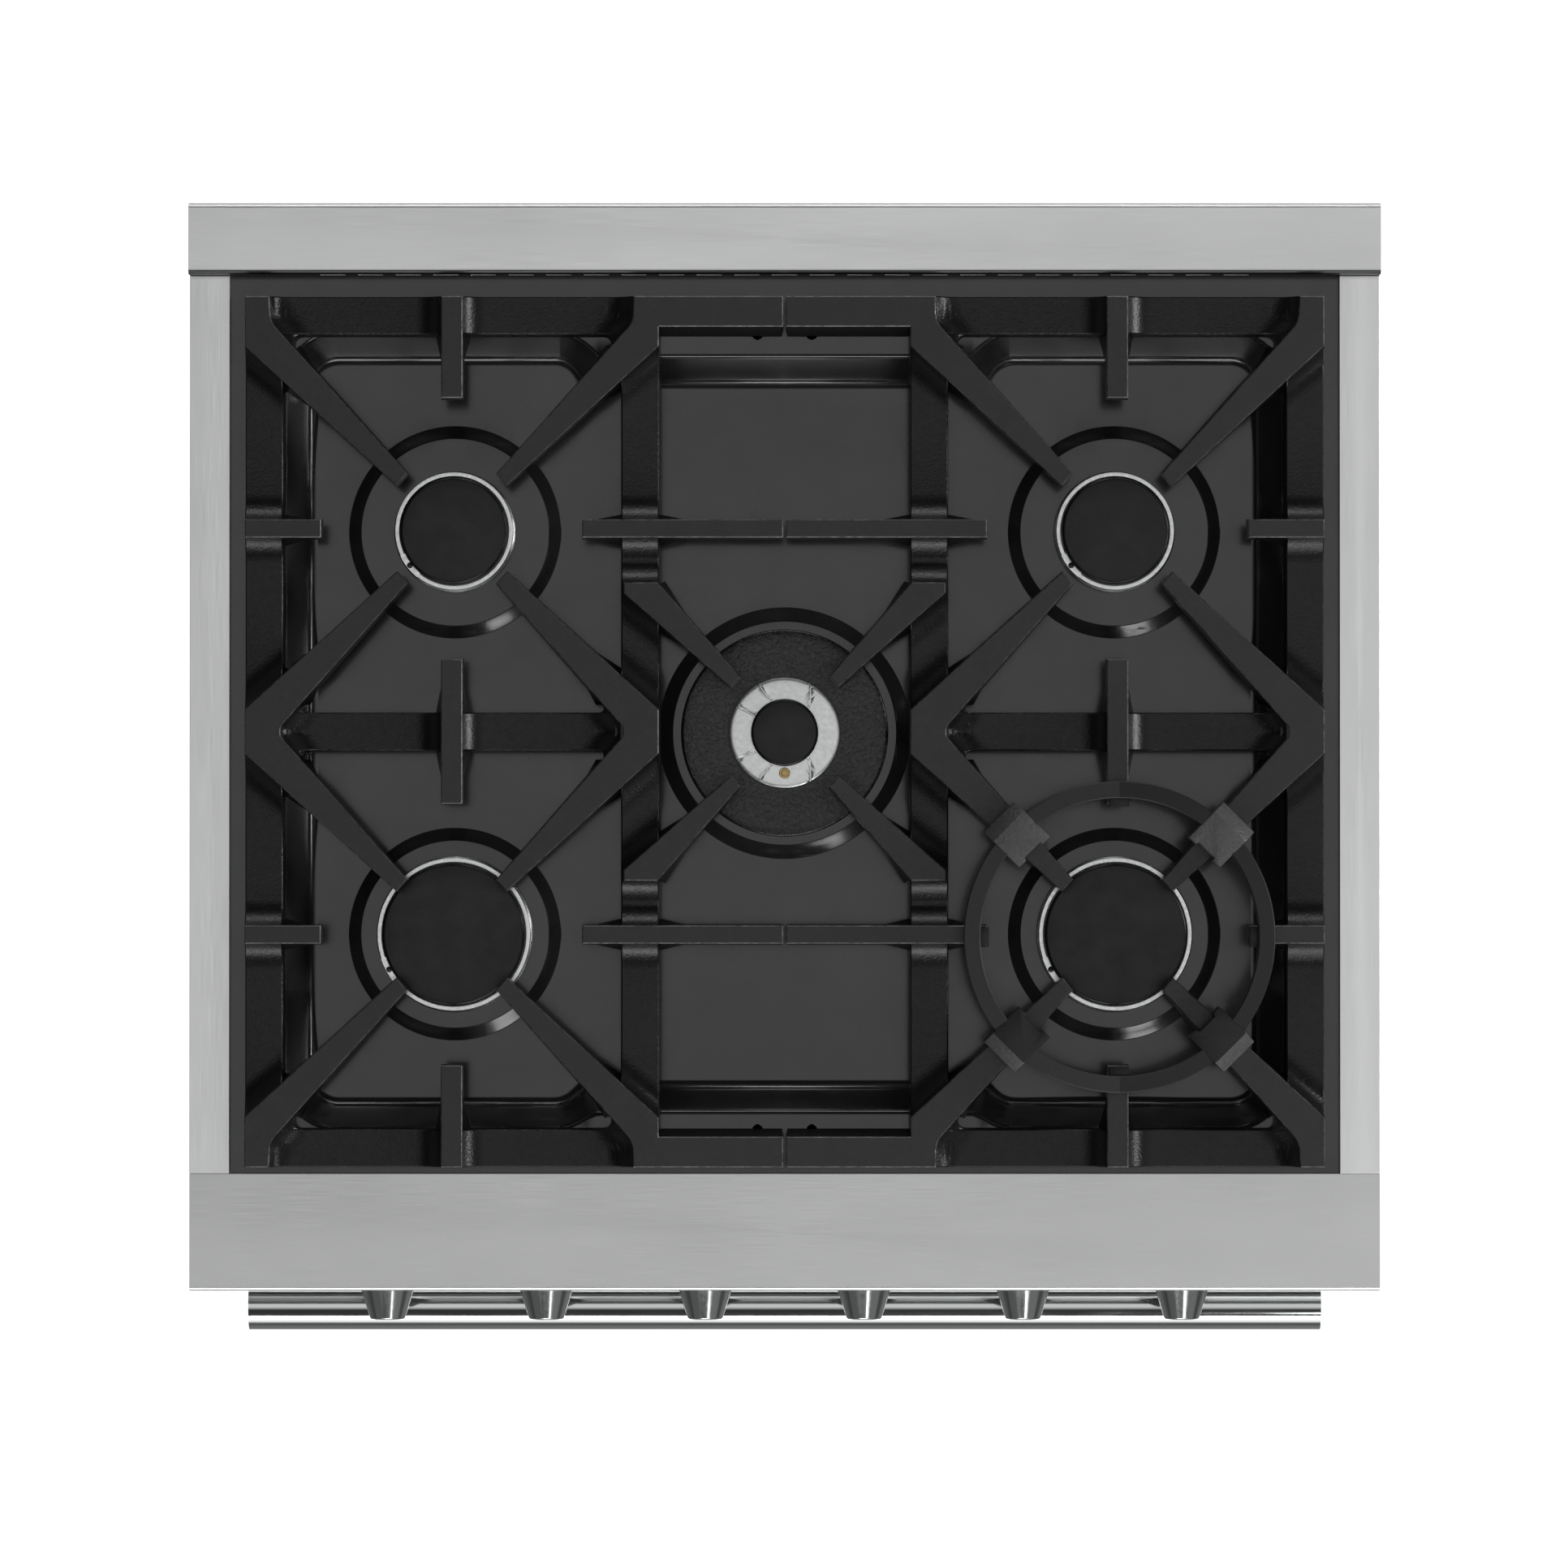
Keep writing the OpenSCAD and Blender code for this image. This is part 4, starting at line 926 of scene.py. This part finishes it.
def arc_block(r0, r1, start, end, z0, z1, bevel):
    """A block bent round Z between two radii and two angles, with a bevelled top."""
    steps = 10
    section = [(r0, z0), (r1, z0), (r1, z1 - bevel), (r1 - bevel, z1), (r0 + bevel, z1), (r0, z1 - bevel)]
    points, faces = [], []
    for angle in np.radians(np.linspace(start, end, steps + 1)):
        points += [(r * math.cos(angle), r * math.sin(angle), z) for r, z in section]
    count = len(section)
    for i in range(steps):
        for k in range(count):
            n = (k + 1) % count
            faces.append((i * count + k, i * count + n, (i + 1) * count + n, (i + 1) * count + k)[::-1])
    faces.append(tuple(range(count)))
    faces.append(tuple(range(steps * count, (steps + 1) * count))[::-1])
    return points, faces


def add_side_burner(name, place):
    """Sealed burner: turned aluminium head with ports, a plate for its spark electrode, and a loose cap."""
    row = name.split("_")[0]
    radius, angle = HEAD_RADII[row], IGNITER_ANGLES[row]
    z0, z1 = FLOOR_Z, FLOOR_Z + HEAD_H
    bore = NECK_R - 3
    head = [
        (bore, z0 - 25), (NECK_R, z0 - 25), (NECK_R, z0), (radius + 0.7, z0), (radius + 1.1, z0 + 0.4),
        (radius + 1.1, z0 + 2.0), (radius + 0.6, z0 + 2.6), (radius - 1.4, z0 + 4), (radius - 1.4, z1 - 7),
        (radius - 0.6, z1 - 6.4), (radius, z1 - 5.6), (radius, z1 - 0.45), (radius - 0.3, z1 - 0.04),
        (radius - 1.0, z1), (radius - 2.0, z1), (radius - 2.65, z1 - 0.04), (radius - 2.95, z1 - 0.45),
        (radius - 2.95, z1 - 3.0), (radius - 6, z1 - 3.4), (radius - 6, z1 - 8), (bore, z1 - 8),
    ]
    plate = 8.7 / radius
    half = math.degrees(plate)
    parts = [moved(lathe(head, 144, closed=True), *place)]
    tab = arc_block(radius - 3.6, radius + 0.4, angle - half, angle + half, z0 + 2, z1 + 0.1, 0.35)
    parts.append(moved(tab, *place))
    ports = 20 if row == "rear" else 26
    for i in range(1, ports):
        turn = Matrix.Rotation(math.radians(angle + i * 360 / ports), 4, "Z")
        rib = placed(soft_box((radius - 1.6, -2.2, z1 - 6.2), (radius - 0.5, 2.2, z1 - 3.4), 0.3, 1), turn)
        parts.append(moved(rib, *place))
    add_piece(f"head_{name}", parts, "alu", "chassis", [f"burner_head_{name}"], 40)

    cap_r, h, edge = radius - 3.4, 8.0, 2.2
    c0 = z1 + 0.05
    cap = [(0, c0), (cap_r - 6, c0), (cap_r - 6, c0 - 3), (cap_r - 4, c0 - 3), (cap_r - 4, c0), (cap_r - 0.8, c0),
           (cap_r, c0 + 0.8)]
    cap += arc((cap_r - edge, c0 + h - edge), edge, 0, 90, 8)
    cap += [(cap_r * 0.75, c0 + h + 0.35), (cap_r * 0.4, c0 + h + 0.55), (0, c0 + h + 0.6)]
    add_piece(f"cap_{name}", [moved(lathe(cap, 120), *place)], "cap", f"cap_{name}",
              [f"burner_cap_{name}"], 40)


# Flame slots across the middle burner's ring, at its back half; the front half mirrors them
SLOTS = [
    [(-16.8, 31.0), (-8.2, 19.6)],
    [(-31.0, 17.2), (-18.2, 12.4)],
    [(-31.0, 17.2), (-19.0, 10.6)],
    [(16.5, 31.4), (16.5, 17.4), (14.0, 16.0)],
]


def strip(a, b, half, start=0.0):
    """Narrow rectangle along the segment a-b."""
    a, b = np.array(a, float), np.array(b, float)
    along = (b - a) / np.linalg.norm(b - a)
    side = np.array([-along[1], along[0]]) * half
    a, b = a - along * start, b + along * start
    return [tuple(a - side), tuple(b - side), tuple(b + side), tuple(a + side)]


def centre_head_part(z0, z1, head_r, cap_r):
    """The middle burner's head: a satin ring with a rounded rim and thin flame slots cut into its top."""
    bore = NECK_R - 4
    steps = [bore, cap_r + 0.6, cap_r + 1.4] + [head_r - t for t in (8, 4.2, 2.4, 1.2, 0.4, 0)]
    drops = [0.0, 0.0, 0.02, 0.06, 0.12, 0.2, 0.32, 0.7, 2.6]
    lines = [(arc((0, 0), r, 0, 360, 144)[:-1], True) for r in steps]
    cuts = []
    for stroke in SLOTS:
        for a, b in zip(stroke, stroke[1:]):
            for sy in (-1, 1):
                ends = (a[0], sy * a[1]), (b[0], sy * b[1])
                cuts.append(anticlockwise(strip(*ends, 0.22)))
                lines += [(strip(*ends, 0.22, 0.1), True), (strip(*ends, 0.3, 0.18), True)]
    lines.append((arc((0, -25.9), 3.6, 0, 360, 32)[:-1], True))

    def inside(points):
        r = np.hypot(*points.T)
        return (r > bore) & (r < head_r) & (np.hypot(points[:, 0], points[:, 1] + 25.9) > 3.6)

    plan, triangles = triangulate(lines, inside, 0.01)
    top = z1 - np.interp(np.hypot(*plan.T), steps, drops)
    top = np.where(deepest(plan, cuts) > -0.15, top - 0.9, top)
    return solid(plan, triangles, top, np.full(len(plan), z0), np.zeros(len(plan)))


def add_centre_burner():
    z = FLOOR_Z
    r = 66.5
    base = [(NECK_R - 3, z - 25), (NECK_R, z - 25), (NECK_R, z), (r, z)]
    base += arc((r - 2, z + 4), 2, 0, 90, 6)
    base += [(r - 6, z + 6.4), (r - 20, z + 6.5), (38, z + 6), (NECK_R - 3, z + 6)]
    add_piece("base_centre", [moved(lathe(base, 144, closed=True), 0, MID_Y)], "rough_enamel", "chassis",
              ["burner_base_center"], 50)

    z0, z1, head_r, cap_r = z + 6, z + 16, 35.5, 21.5
    head = centre_head_part(z0, z1, head_r, cap_r)
    placed_head = moved(head, 0, MID_Y)
    add_piece("head_centre", [placed_head], "satin", "chassis", ["burner_head_center"], 40)

    c0 = z1 + 0.05
    cap = [(0, c0), (cap_r - 0.6, c0), (cap_r, c0 + 0.6)]
    cap += arc((cap_r - 2, c0 + 4), 2, 0, 90, 6)
    cap += [(cap_r * 0.6, c0 + 6.4), (0, c0 + 6.6)]
    add_piece("cap_centre", [moved(lathe(cap, 120), 0, MID_Y)], "cap", "cap_center",
              ["burner_cap_center"], 40)


def add_igniters():
    """Electrodes with narrow tips, all in black plastic, at the side burners, and the brass one of the middle
    burner.
    """
    parts = []
    for name, place in BURNERS.items():
        row = name.split("_")[0]
        r, angle = HEAD_RADII[row] - 2.0, math.radians(IGNITER_ANGLES[row])
        profile = [(0, 12.0), (1.9, 12.0), (1.9, 19.2), (1.5, 19.5), (1.0, 19.5)]
        profile += [(1.0, 20.6), (0.6, 20.9), (0, 20.9)]
        x, y = place[0] + r * math.cos(angle), place[1] + r * math.sin(angle)
        parts.append(moved(lathe(profile, 24), x, y, FLOOR_Z))
    add_piece("electrodes", parts, "plastic", "chassis", ["igniters"], 40)
    z = FLOOR_Z + 6.2
    body = [(0, 0), (3.5, 0), (3.5, 10.4), (3.2, 10.8), (2.75, 10.8), (2.6, 8.6)]
    body += [(1.9, 8.6), (1.9, 11.9), (1.6, 12.3), (0.9, 12.3), (0.8, 10.2), (0, 10.2)]
    add_piece("electrode_centre", [moved(lathe(body, 36), 0, MID_Y - 25.9, z)], "brass", "chassis",
              (), 30)


# ---------------------------------------------------------------- wok ring


def add_wok_ring():
    low, high = cad("wok_ring")
    centre = ((low[0] + high[0]) / 2, (low[1] + high[1]) / 2)
    z0, z1 = low[2] + 8, high[2]
    inner, outer = 88.0, 98.6
    e = 0.7
    band = [(inner, z0 + 8 + e), (inner + e, z0 + 8), (outer - e, z0 + 8), (outer, z0 + 8 + e), (outer, z1 - 1 - e),
            (outer - e, z1 - 1), (inner + e, z1), (inner, z1 - e)]
    parts = [lathe(band, 128, closed=True)]
    for k in range(4):
        tab = soft_box((inner - 5.5, -6.4, z0 + 8), (inner + 2, 6.4, z0 + 14), 0.6)
        parts.append(placed(tab, Matrix.Rotation(math.radians(90 * k), 4, "Z")))
    rough, smooth = [], []
    for k in range(4):
        turn = Matrix.Rotation(math.radians(45 + 90 * k), 4, "Z")
        lug = placed(wok_lug(z0, z1), turn)
        (rough if k < 2 else smooth).append(lug)
    parts += smooth
    ring = [moved(p, *centre) for p in parts]
    lugs = [moved(p, *centre) for p in rough]

    def band_face(middle, normal):
        """The band's left half gets a lighter colour, painted light; the front lugs' sloped ends are rough."""
        reach = math.hypot(middle[0] - centre[0], middle[1] - centre[1])
        if reach > outer + 1:
            return 1
        # left half of the band: painted light
        return 2 if inner - 1 < reach and middle[0] < centre[0] and middle[2] < z1 - 0.2 else 0

    looks = ["iron_band", "hammered", "iron_band_painted_light"]
    add_piece("wok_band", ring, looks, "wok_support", ["wok_ring"], 30, band_face)
    add_piece("wok_lugs_back", lugs, "hammered", "wok_support", (), 30)


def wok_lug(z0, z1):
    """Lug that straddles a diagonal finger: flat top, sloped outer end, slot below and notch inside."""
    half, slot_half, notch_half = 13.7, 10.5, 7.2
    inner, outer, slope, notch = 76.0, 107.4, 8.0, 78.0

    def build(bm):
        def block(low, high):
            made = bmesh.ops.create_cube(bm, size=1.0)["verts"]
            size = np.array(high, float) - np.array(low, float)
            middle = (np.array(high, float) + np.array(low, float)) / 2
            for vert in made:
                vert.co = Vector(np.array(vert.co) * size + middle)
            return made

        # plan outline of the saddle with its notch, drawn anticlockwise
        outline = [(notch, -notch_half), (inner, -notch_half), (inner, -half), (outer, -half), (outer, half),
                   (inner, half), (inner, notch_half), (notch, notch_half)]
        top = [bm.verts.new((x if x < outer - 1 else outer - slope, y, z1)) for x, y in outline]
        shoulder_z = z1 - 8
        low_ring = [bm.verts.new((x, y, z0)) for x, y in outline]
        bm.faces.new(top)
        bm.faces.new(list(reversed(low_ring)))
        shoulder = {}
        for i in (3, 4):
            x, y = outline[i]
            shoulder[i] = bm.verts.new((x, y, shoulder_z))
        for i in range(len(outline)):
            j = (i + 1) % len(outline)
            if i == 2:
                bm.faces.new([low_ring[i], low_ring[j], shoulder[j], top[j], top[i]])
            elif i == 3:
                bm.faces.new([low_ring[i], low_ring[j], shoulder[j], shoulder[i]])
                bm.faces.new([shoulder[i], shoulder[j], top[j], top[i]])
            elif i == 4:
                bm.faces.new([low_ring[i], low_ring[j], top[j], top[i], shoulder[i]])
            else:
                bm.faces.new([low_ring[i], low_ring[j], top[j], top[i]])
        bmesh.ops.recalc_face_normals(bm, faces=bm.faces)
        edges = [e for e in bm.edges if e.calc_face_angle(0) > 0.3]
        bmesh.ops.bevel(bm, geom=edges, offset=0.7, segments=2, profile=0.5, affect="EDGES")
        for y0, y1 in ((-half, -slot_half), (slot_half, half)):
            block((inner, y0, z0 - 8), (outer, y1, z0 + 0.8))

    return mesh_part(build)


# ---------------------------------------------------------------- knobs and handle


def add_knobs():
    """Polished conical knobs with a rounded front edge, a hollow back and a short engraved pointer."""
    for index, node in enumerate(KNOBS):
        low, high = cad(node)
        x, z = (low[0] + high[0]) / 2, (low[2] + high[2]) / 2
        back, length = high[1], high[1] - low[1]
        base_r, front_r, edge = (high[0] - low[0]) / 2, 11.0, 1.6
        taper = (base_r - front_r) / length
        body = [(0, length)]
        body += arc((front_r - edge + 0.5, length - edge), edge, 90, 18, 6)
        body += [(base_r - 2.2 * taper - 0.1, 2.2), (base_r - 0.2, 1.0), (base_r, 0.6), (base_r - 0.6, 0)]
        body += [(base_r - 3.2, 0), (base_r - 3.2 - 12 * taper, 12), (8, 12), (8, 0), (0, 0)]
        part = lathe(list(reversed(body)), 120)
        mark = soft_box((-0.6, 3.0, length - 0.5), (0.6, 9.0, length + 0.05), 0.04)
        place = Matrix.Translation((x, back + KNOB_SET_BACK, z))
        to_panel = place @ Matrix.Rotation(math.radians(90), 4, "X")
        add_piece(f"dial_{index + 1}", [placed(part, to_panel)], "knob", f"control_knob_{index + 1}",
                  [node], 25)
        add_piece(f"pointer_{index + 1}", [placed(mark, to_panel)], "ink", f"control_knob_{index + 1}",
                  (), 30)


def add_panel_marks():
    """Plain printed scales round the knobs: a line at each step of their turn, longer every 90 degrees."""
    face = cad("control_panel")[0][1]
    marks = []
    for node in KNOBS:
        low, high = cad(node)
        place = Matrix.Translation(((low[0] + high[0]) / 2, face, (low[2] + high[2]) / 2))
        to_panel = place @ Matrix.Rotation(math.radians(90), 4, "X")
        for step in range(270 // SCALE_STEP + 1):
            long = step * SCALE_STEP % 90 == 0
            line = soft_box((25.5, -0.5, -0.3), (29.8 if long else 28.0, 0.5, 0.06), 0.02)
            turn = Matrix.Rotation(math.radians(90 + SCALE_STEP * step), 4, "Z")
            marks.append(placed(line, to_panel @ turn))
    add_piece("panel_marks", marks, "ink", "chassis", (), 30)


def add_back_screws():
    """Hexagon-head screws with washers that hold the back panel."""
    low, high = cad("back_panel")
    washer = lathe([(0, -0.2), (5.0, -0.2), (5.0, 0.5), (4.6, 0.8), (0, 0.8)], 32)
    head = lathe([(0, 0.6), (3.9, 0.6), (3.9, 2.8), (3.3, 3.3), (0, 3.3)], 6)
    edge = 43
    places = [(side * (high[0] - edge), z) for side in (-1, 1) for z in (250, 400, 550, 700, 850)]
    places += [(x, z) for x in (-200, 0, 200) for z in (low[2] + 18, high[2] - 18)]
    screws = []
    for i, (x, z) in enumerate(places):
        out = Matrix.Translation((x, high[1], z)) @ Matrix.Rotation(math.radians(-90), 4, "X")
        screws.append(placed(washer, out))
        screws.append(placed(head, out @ Matrix.Rotation(math.radians(17 * i), 4, "Z")))
    add_piece("back_screws", screws, "chrome", "chassis", (), 25)


# ---------------------------------------------------------------- carried-over CAD nodes

SLOT_LOOK = {
    "brushed_steel": "steel_x",
    "polished_steel": "chrome",
    "zinc_plate": "zinc",
    "black_enamel": "pan",
    "textured_enamel": "rough_enamel",
    "oven_enamel": "oven",
    "cap_enamel": "cap",
    "cast_iron": "iron",
    "aluminium": "alu",
    "brass": "brass",
    "ceramic": "ceramic",
    "glass": "glass",
    "black_plastic": "plastic",
    "gasket": "gasket",
    "insulation": "wool",
}
GRAIN = {
    "side_trim_left": "steel_y",
    "side_trim_right": "steel_y",
    "side_panel_left": "steel_z",
    "side_panel_right": "steel_z",
    "front_ledge": "steel_ledge",
    "rear_trim": "steel_rear_painted_shade",
}
BEVELS = {
    "front_ledge": 0.35,
    "rear_trim": 0.12,
    "side_trim_left": 0.2,
    "side_trim_right": 0.2,
    "control_panel": 0.4,
    "door_skin": 0.7,
    "door_liner": 0.5,
    "kick_panel": 0.5,
    "side_panel_left": 0.4,
    "side_panel_right": 0.4,
    "front_frame": 0.4,
    "oven_liner": 0.5,
    "oven_floor": 0.4,
}


def finish_cad_nodes():
    """Gives every shown CAD node its procedural material, welded corners and softened edges."""
    slots = {entry["node"]: entry["material_slot"] for entry in frame["record"]["subparts"]}
    for name, obj in frame["nodes"].items():
        look = GRAIN.get(name, SLOT_LOOK[slots[name]])
        obj.data.materials.clear()
        obj.data.materials.append(LOOK[look])
        weld = obj.modifiers.new("weld", "WELD")
        weld.merge_threshold = 0.00001
        if name in BEVELS:
            bevel = obj.modifiers.new("bevel", "BEVEL")
            bevel.width = BEVELS[name] * MM
            bevel.segments = 2
            bevel.limit_method = "ANGLE"
            bevel.angle_limit = math.radians(40)


# ---------------------------------------------------------------- stage, light and camera


def add_stage():
    """Plain pale floor that looks white and throws a soft grey light back at the object."""
    mesh = bpy.data.meshes.new("floor")
    size = 14.0
    corners = [(-size, -size, 0), (size, -size, 0), (size, size, 0), (-size, size, 0)]
    mesh.from_pydata(corners, [], [(0, 1, 2, 3)])
    pale = bpy.data.materials.new("pale_floor")
    pale.use_nodes = True
    shader = pale.node_tree.nodes["Principled BSDF"]
    shader.inputs["Base Color"].default_value = (0.35, 0.35, 0.35, 1)
    shader.inputs["Roughness"].default_value = 0.9
    shader.inputs["Emission Color"].default_value = (1, 1, 1, 1)
    seen = pale.node_tree.nodes.new("ShaderNodeLightPath").outputs["Is Camera Ray"]
    pale.node_tree.links.new(seen, shader.inputs["Emission Strength"])
    mesh.materials.append(pale)
    floor = bpy.data.objects.new("floor", mesh)
    bpy.context.scene.collection.objects.link(floor)


def add_light(name, place, target, size, radiance):
    """Rectangular softbox of a given brightness."""
    light = bpy.data.lights.new(name, "AREA")
    light.shape = "RECTANGLE"
    light.size, light.size_y = size
    light.energy = radiance * size[0] * size[1] * math.pi
    obj = bpy.data.objects.new(name, light)
    obj.location = place
    obj.rotation_mode = "QUATERNION"
    obj.rotation_quaternion = (Vector(target) - Vector(place)).to_track_quat("-Z", "Y")
    obj.visible_camera = False
    bpy.context.scene.collection.objects.link(obj)


class Studio:
    """World light by direction: a soft strip overhead, dark round it, and bright walls at the front."""

    def __init__(self):
        world = bpy.data.worlds.new("studio")
        bpy.context.scene.world = world
        world.use_nodes = True
        self.tree = world.node_tree
        self.back = self.tree.nodes["Background"]
        self.back.inputs["Color"].default_value = (1, 1, 1, 1)
        split = self.tree.nodes.new("ShaderNodeSeparateXYZ")
        self.tree.links.new(self.tree.nodes.new("ShaderNodeTexCoord").outputs["Generated"], split.inputs[0])
        self.x, self.y, self.z = split.outputs

    def ramp(self, source, stops):
        """Piecewise linear value over the range -1 to 1."""
        scaled = self.math("MULTIPLY_ADD", source, 0.5, 0.5)
        made = self.tree.nodes.new("ShaderNodeValToRGB")
        elements = made.color_ramp.elements
        while len(elements) < len(stops):
            elements.new(0.5)
        for element, (place, value) in zip(elements, stops):
            element.position = place / 2 + 0.5
            element.color = (value, value, value, 1)
        self.tree.links.new(scaled, made.inputs["Fac"])
        return made.outputs["Color"]

    def math(self, operation, *values):
        made = self.tree.nodes.new("ShaderNodeMath")
        made.operation = operation
        for target, value in zip(made.inputs, values):
            if isinstance(value, float):
                target.default_value = value
            else:
                self.tree.links.new(value, target)
        return made.outputs[0]

    def times(self, first, *others):
        """Product of several values."""
        for other in others:
            first = self.math("MULTIPLY", first, other)
        return first


def add_lights():
    studio = Studio()
    ramp, times = studio.ramp, studio.times
    walls = ramp(studio.z, [(-1, 0.4), (0.04, 0.4), (0.12, 1), (0.5, 1), (0.64, 0.04), (1, 0.03)])
    sides = ramp(studio.x, [(-1, 0.12), (-0.5, 0.12), (-0.28, 1), (0.28, 1), (0.5, 0.2), (1, 0.2)])
    depth = ramp(studio.y, [(-1, 1), (-0.4, 1), (0, 0.6), (1, 0.6)])
    zenith = times(
        ramp(studio.y, [(-0.36, 0), (-0.22, 0.5), (-0.12, 1), (0.12, 1), (0.24, 0)]),
        ramp(studio.x, [(-0.5, 0), (-0.12, 1), (0.3, 1), (0.75, 0)]),
        1.0,
    )
    streak = times(
        ramp(studio.y, [(-0.68, 0), (-0.6, 1), (-0.48, 1), (-0.4, 0)]),
        ramp(studio.x, [(0.06, 0), (0.12, 1), (0.24, 1), (0.36, 0)]),
        ramp(studio.z, [(0.5, 0), (0.6, 1), (1, 1)]),
        0.6,
    )
    total = studio.math("MAXIMUM", times(walls, sides, depth, 1.5), studio.math("MAXIMUM", zenith, streak))
    seen = studio.tree.nodes.new("ShaderNodeLightPath").outputs["Is Camera Ray"]
    studio.tree.links.new(studio.math("MAXIMUM", total, seen), studio.back.inputs["Strength"])
    middle = (0, 0, TRIM_TOP * MM)
    add_light("front_softbox", (0.84, -2.06, 2.9), middle, (0.6, 0.6), 6.5)
    add_light("front_strip", (0, -2.3, 1.9), middle, (1.3, 0.8), 5.0)
    add_light("right_strip", (2.4, 0.2, 1.78), middle, (1.0, 0.7), 15.0)
    add_light("back_strip", (0, 2.4, 1.8), middle, (1.3, 0.5), 5.0)


def add_camera():
    """Long lens high over the cooktop, tilted a little towards the back."""
    data = bpy.data.cameras.new("camera")
    data.lens = 198.0
    data.sensor_width = 36.0
    data.clip_end = 100.0
    camera = bpy.data.objects.new("camera", data)
    camera.location = (-0.0004, (MID_Y - 103.2) * MM, TRIM_TOP * MM + 5.5)
    target = Vector((-0.0004, (MID_Y - 33.1) * MM, TRIM_TOP * MM))
    camera.rotation_mode = "QUATERNION"
    camera.rotation_quaternion = (target - camera.location).to_track_quat("-Z", "Y")
    bpy.context.scene.collection.objects.link(camera)
    bpy.context.scene.camera = camera


finish_cad_nodes()
add_grates()
add_pan()
for burner, spot in BURNERS.items():
    add_side_burner(burner, spot)
add_centre_burner()
add_igniters()
add_wok_ring()
add_knobs()
add_panel_marks()
add_back_screws()
add_stage()
add_lights()
add_camera()
bpy.context.scene.view_settings.view_transform = "Standard"
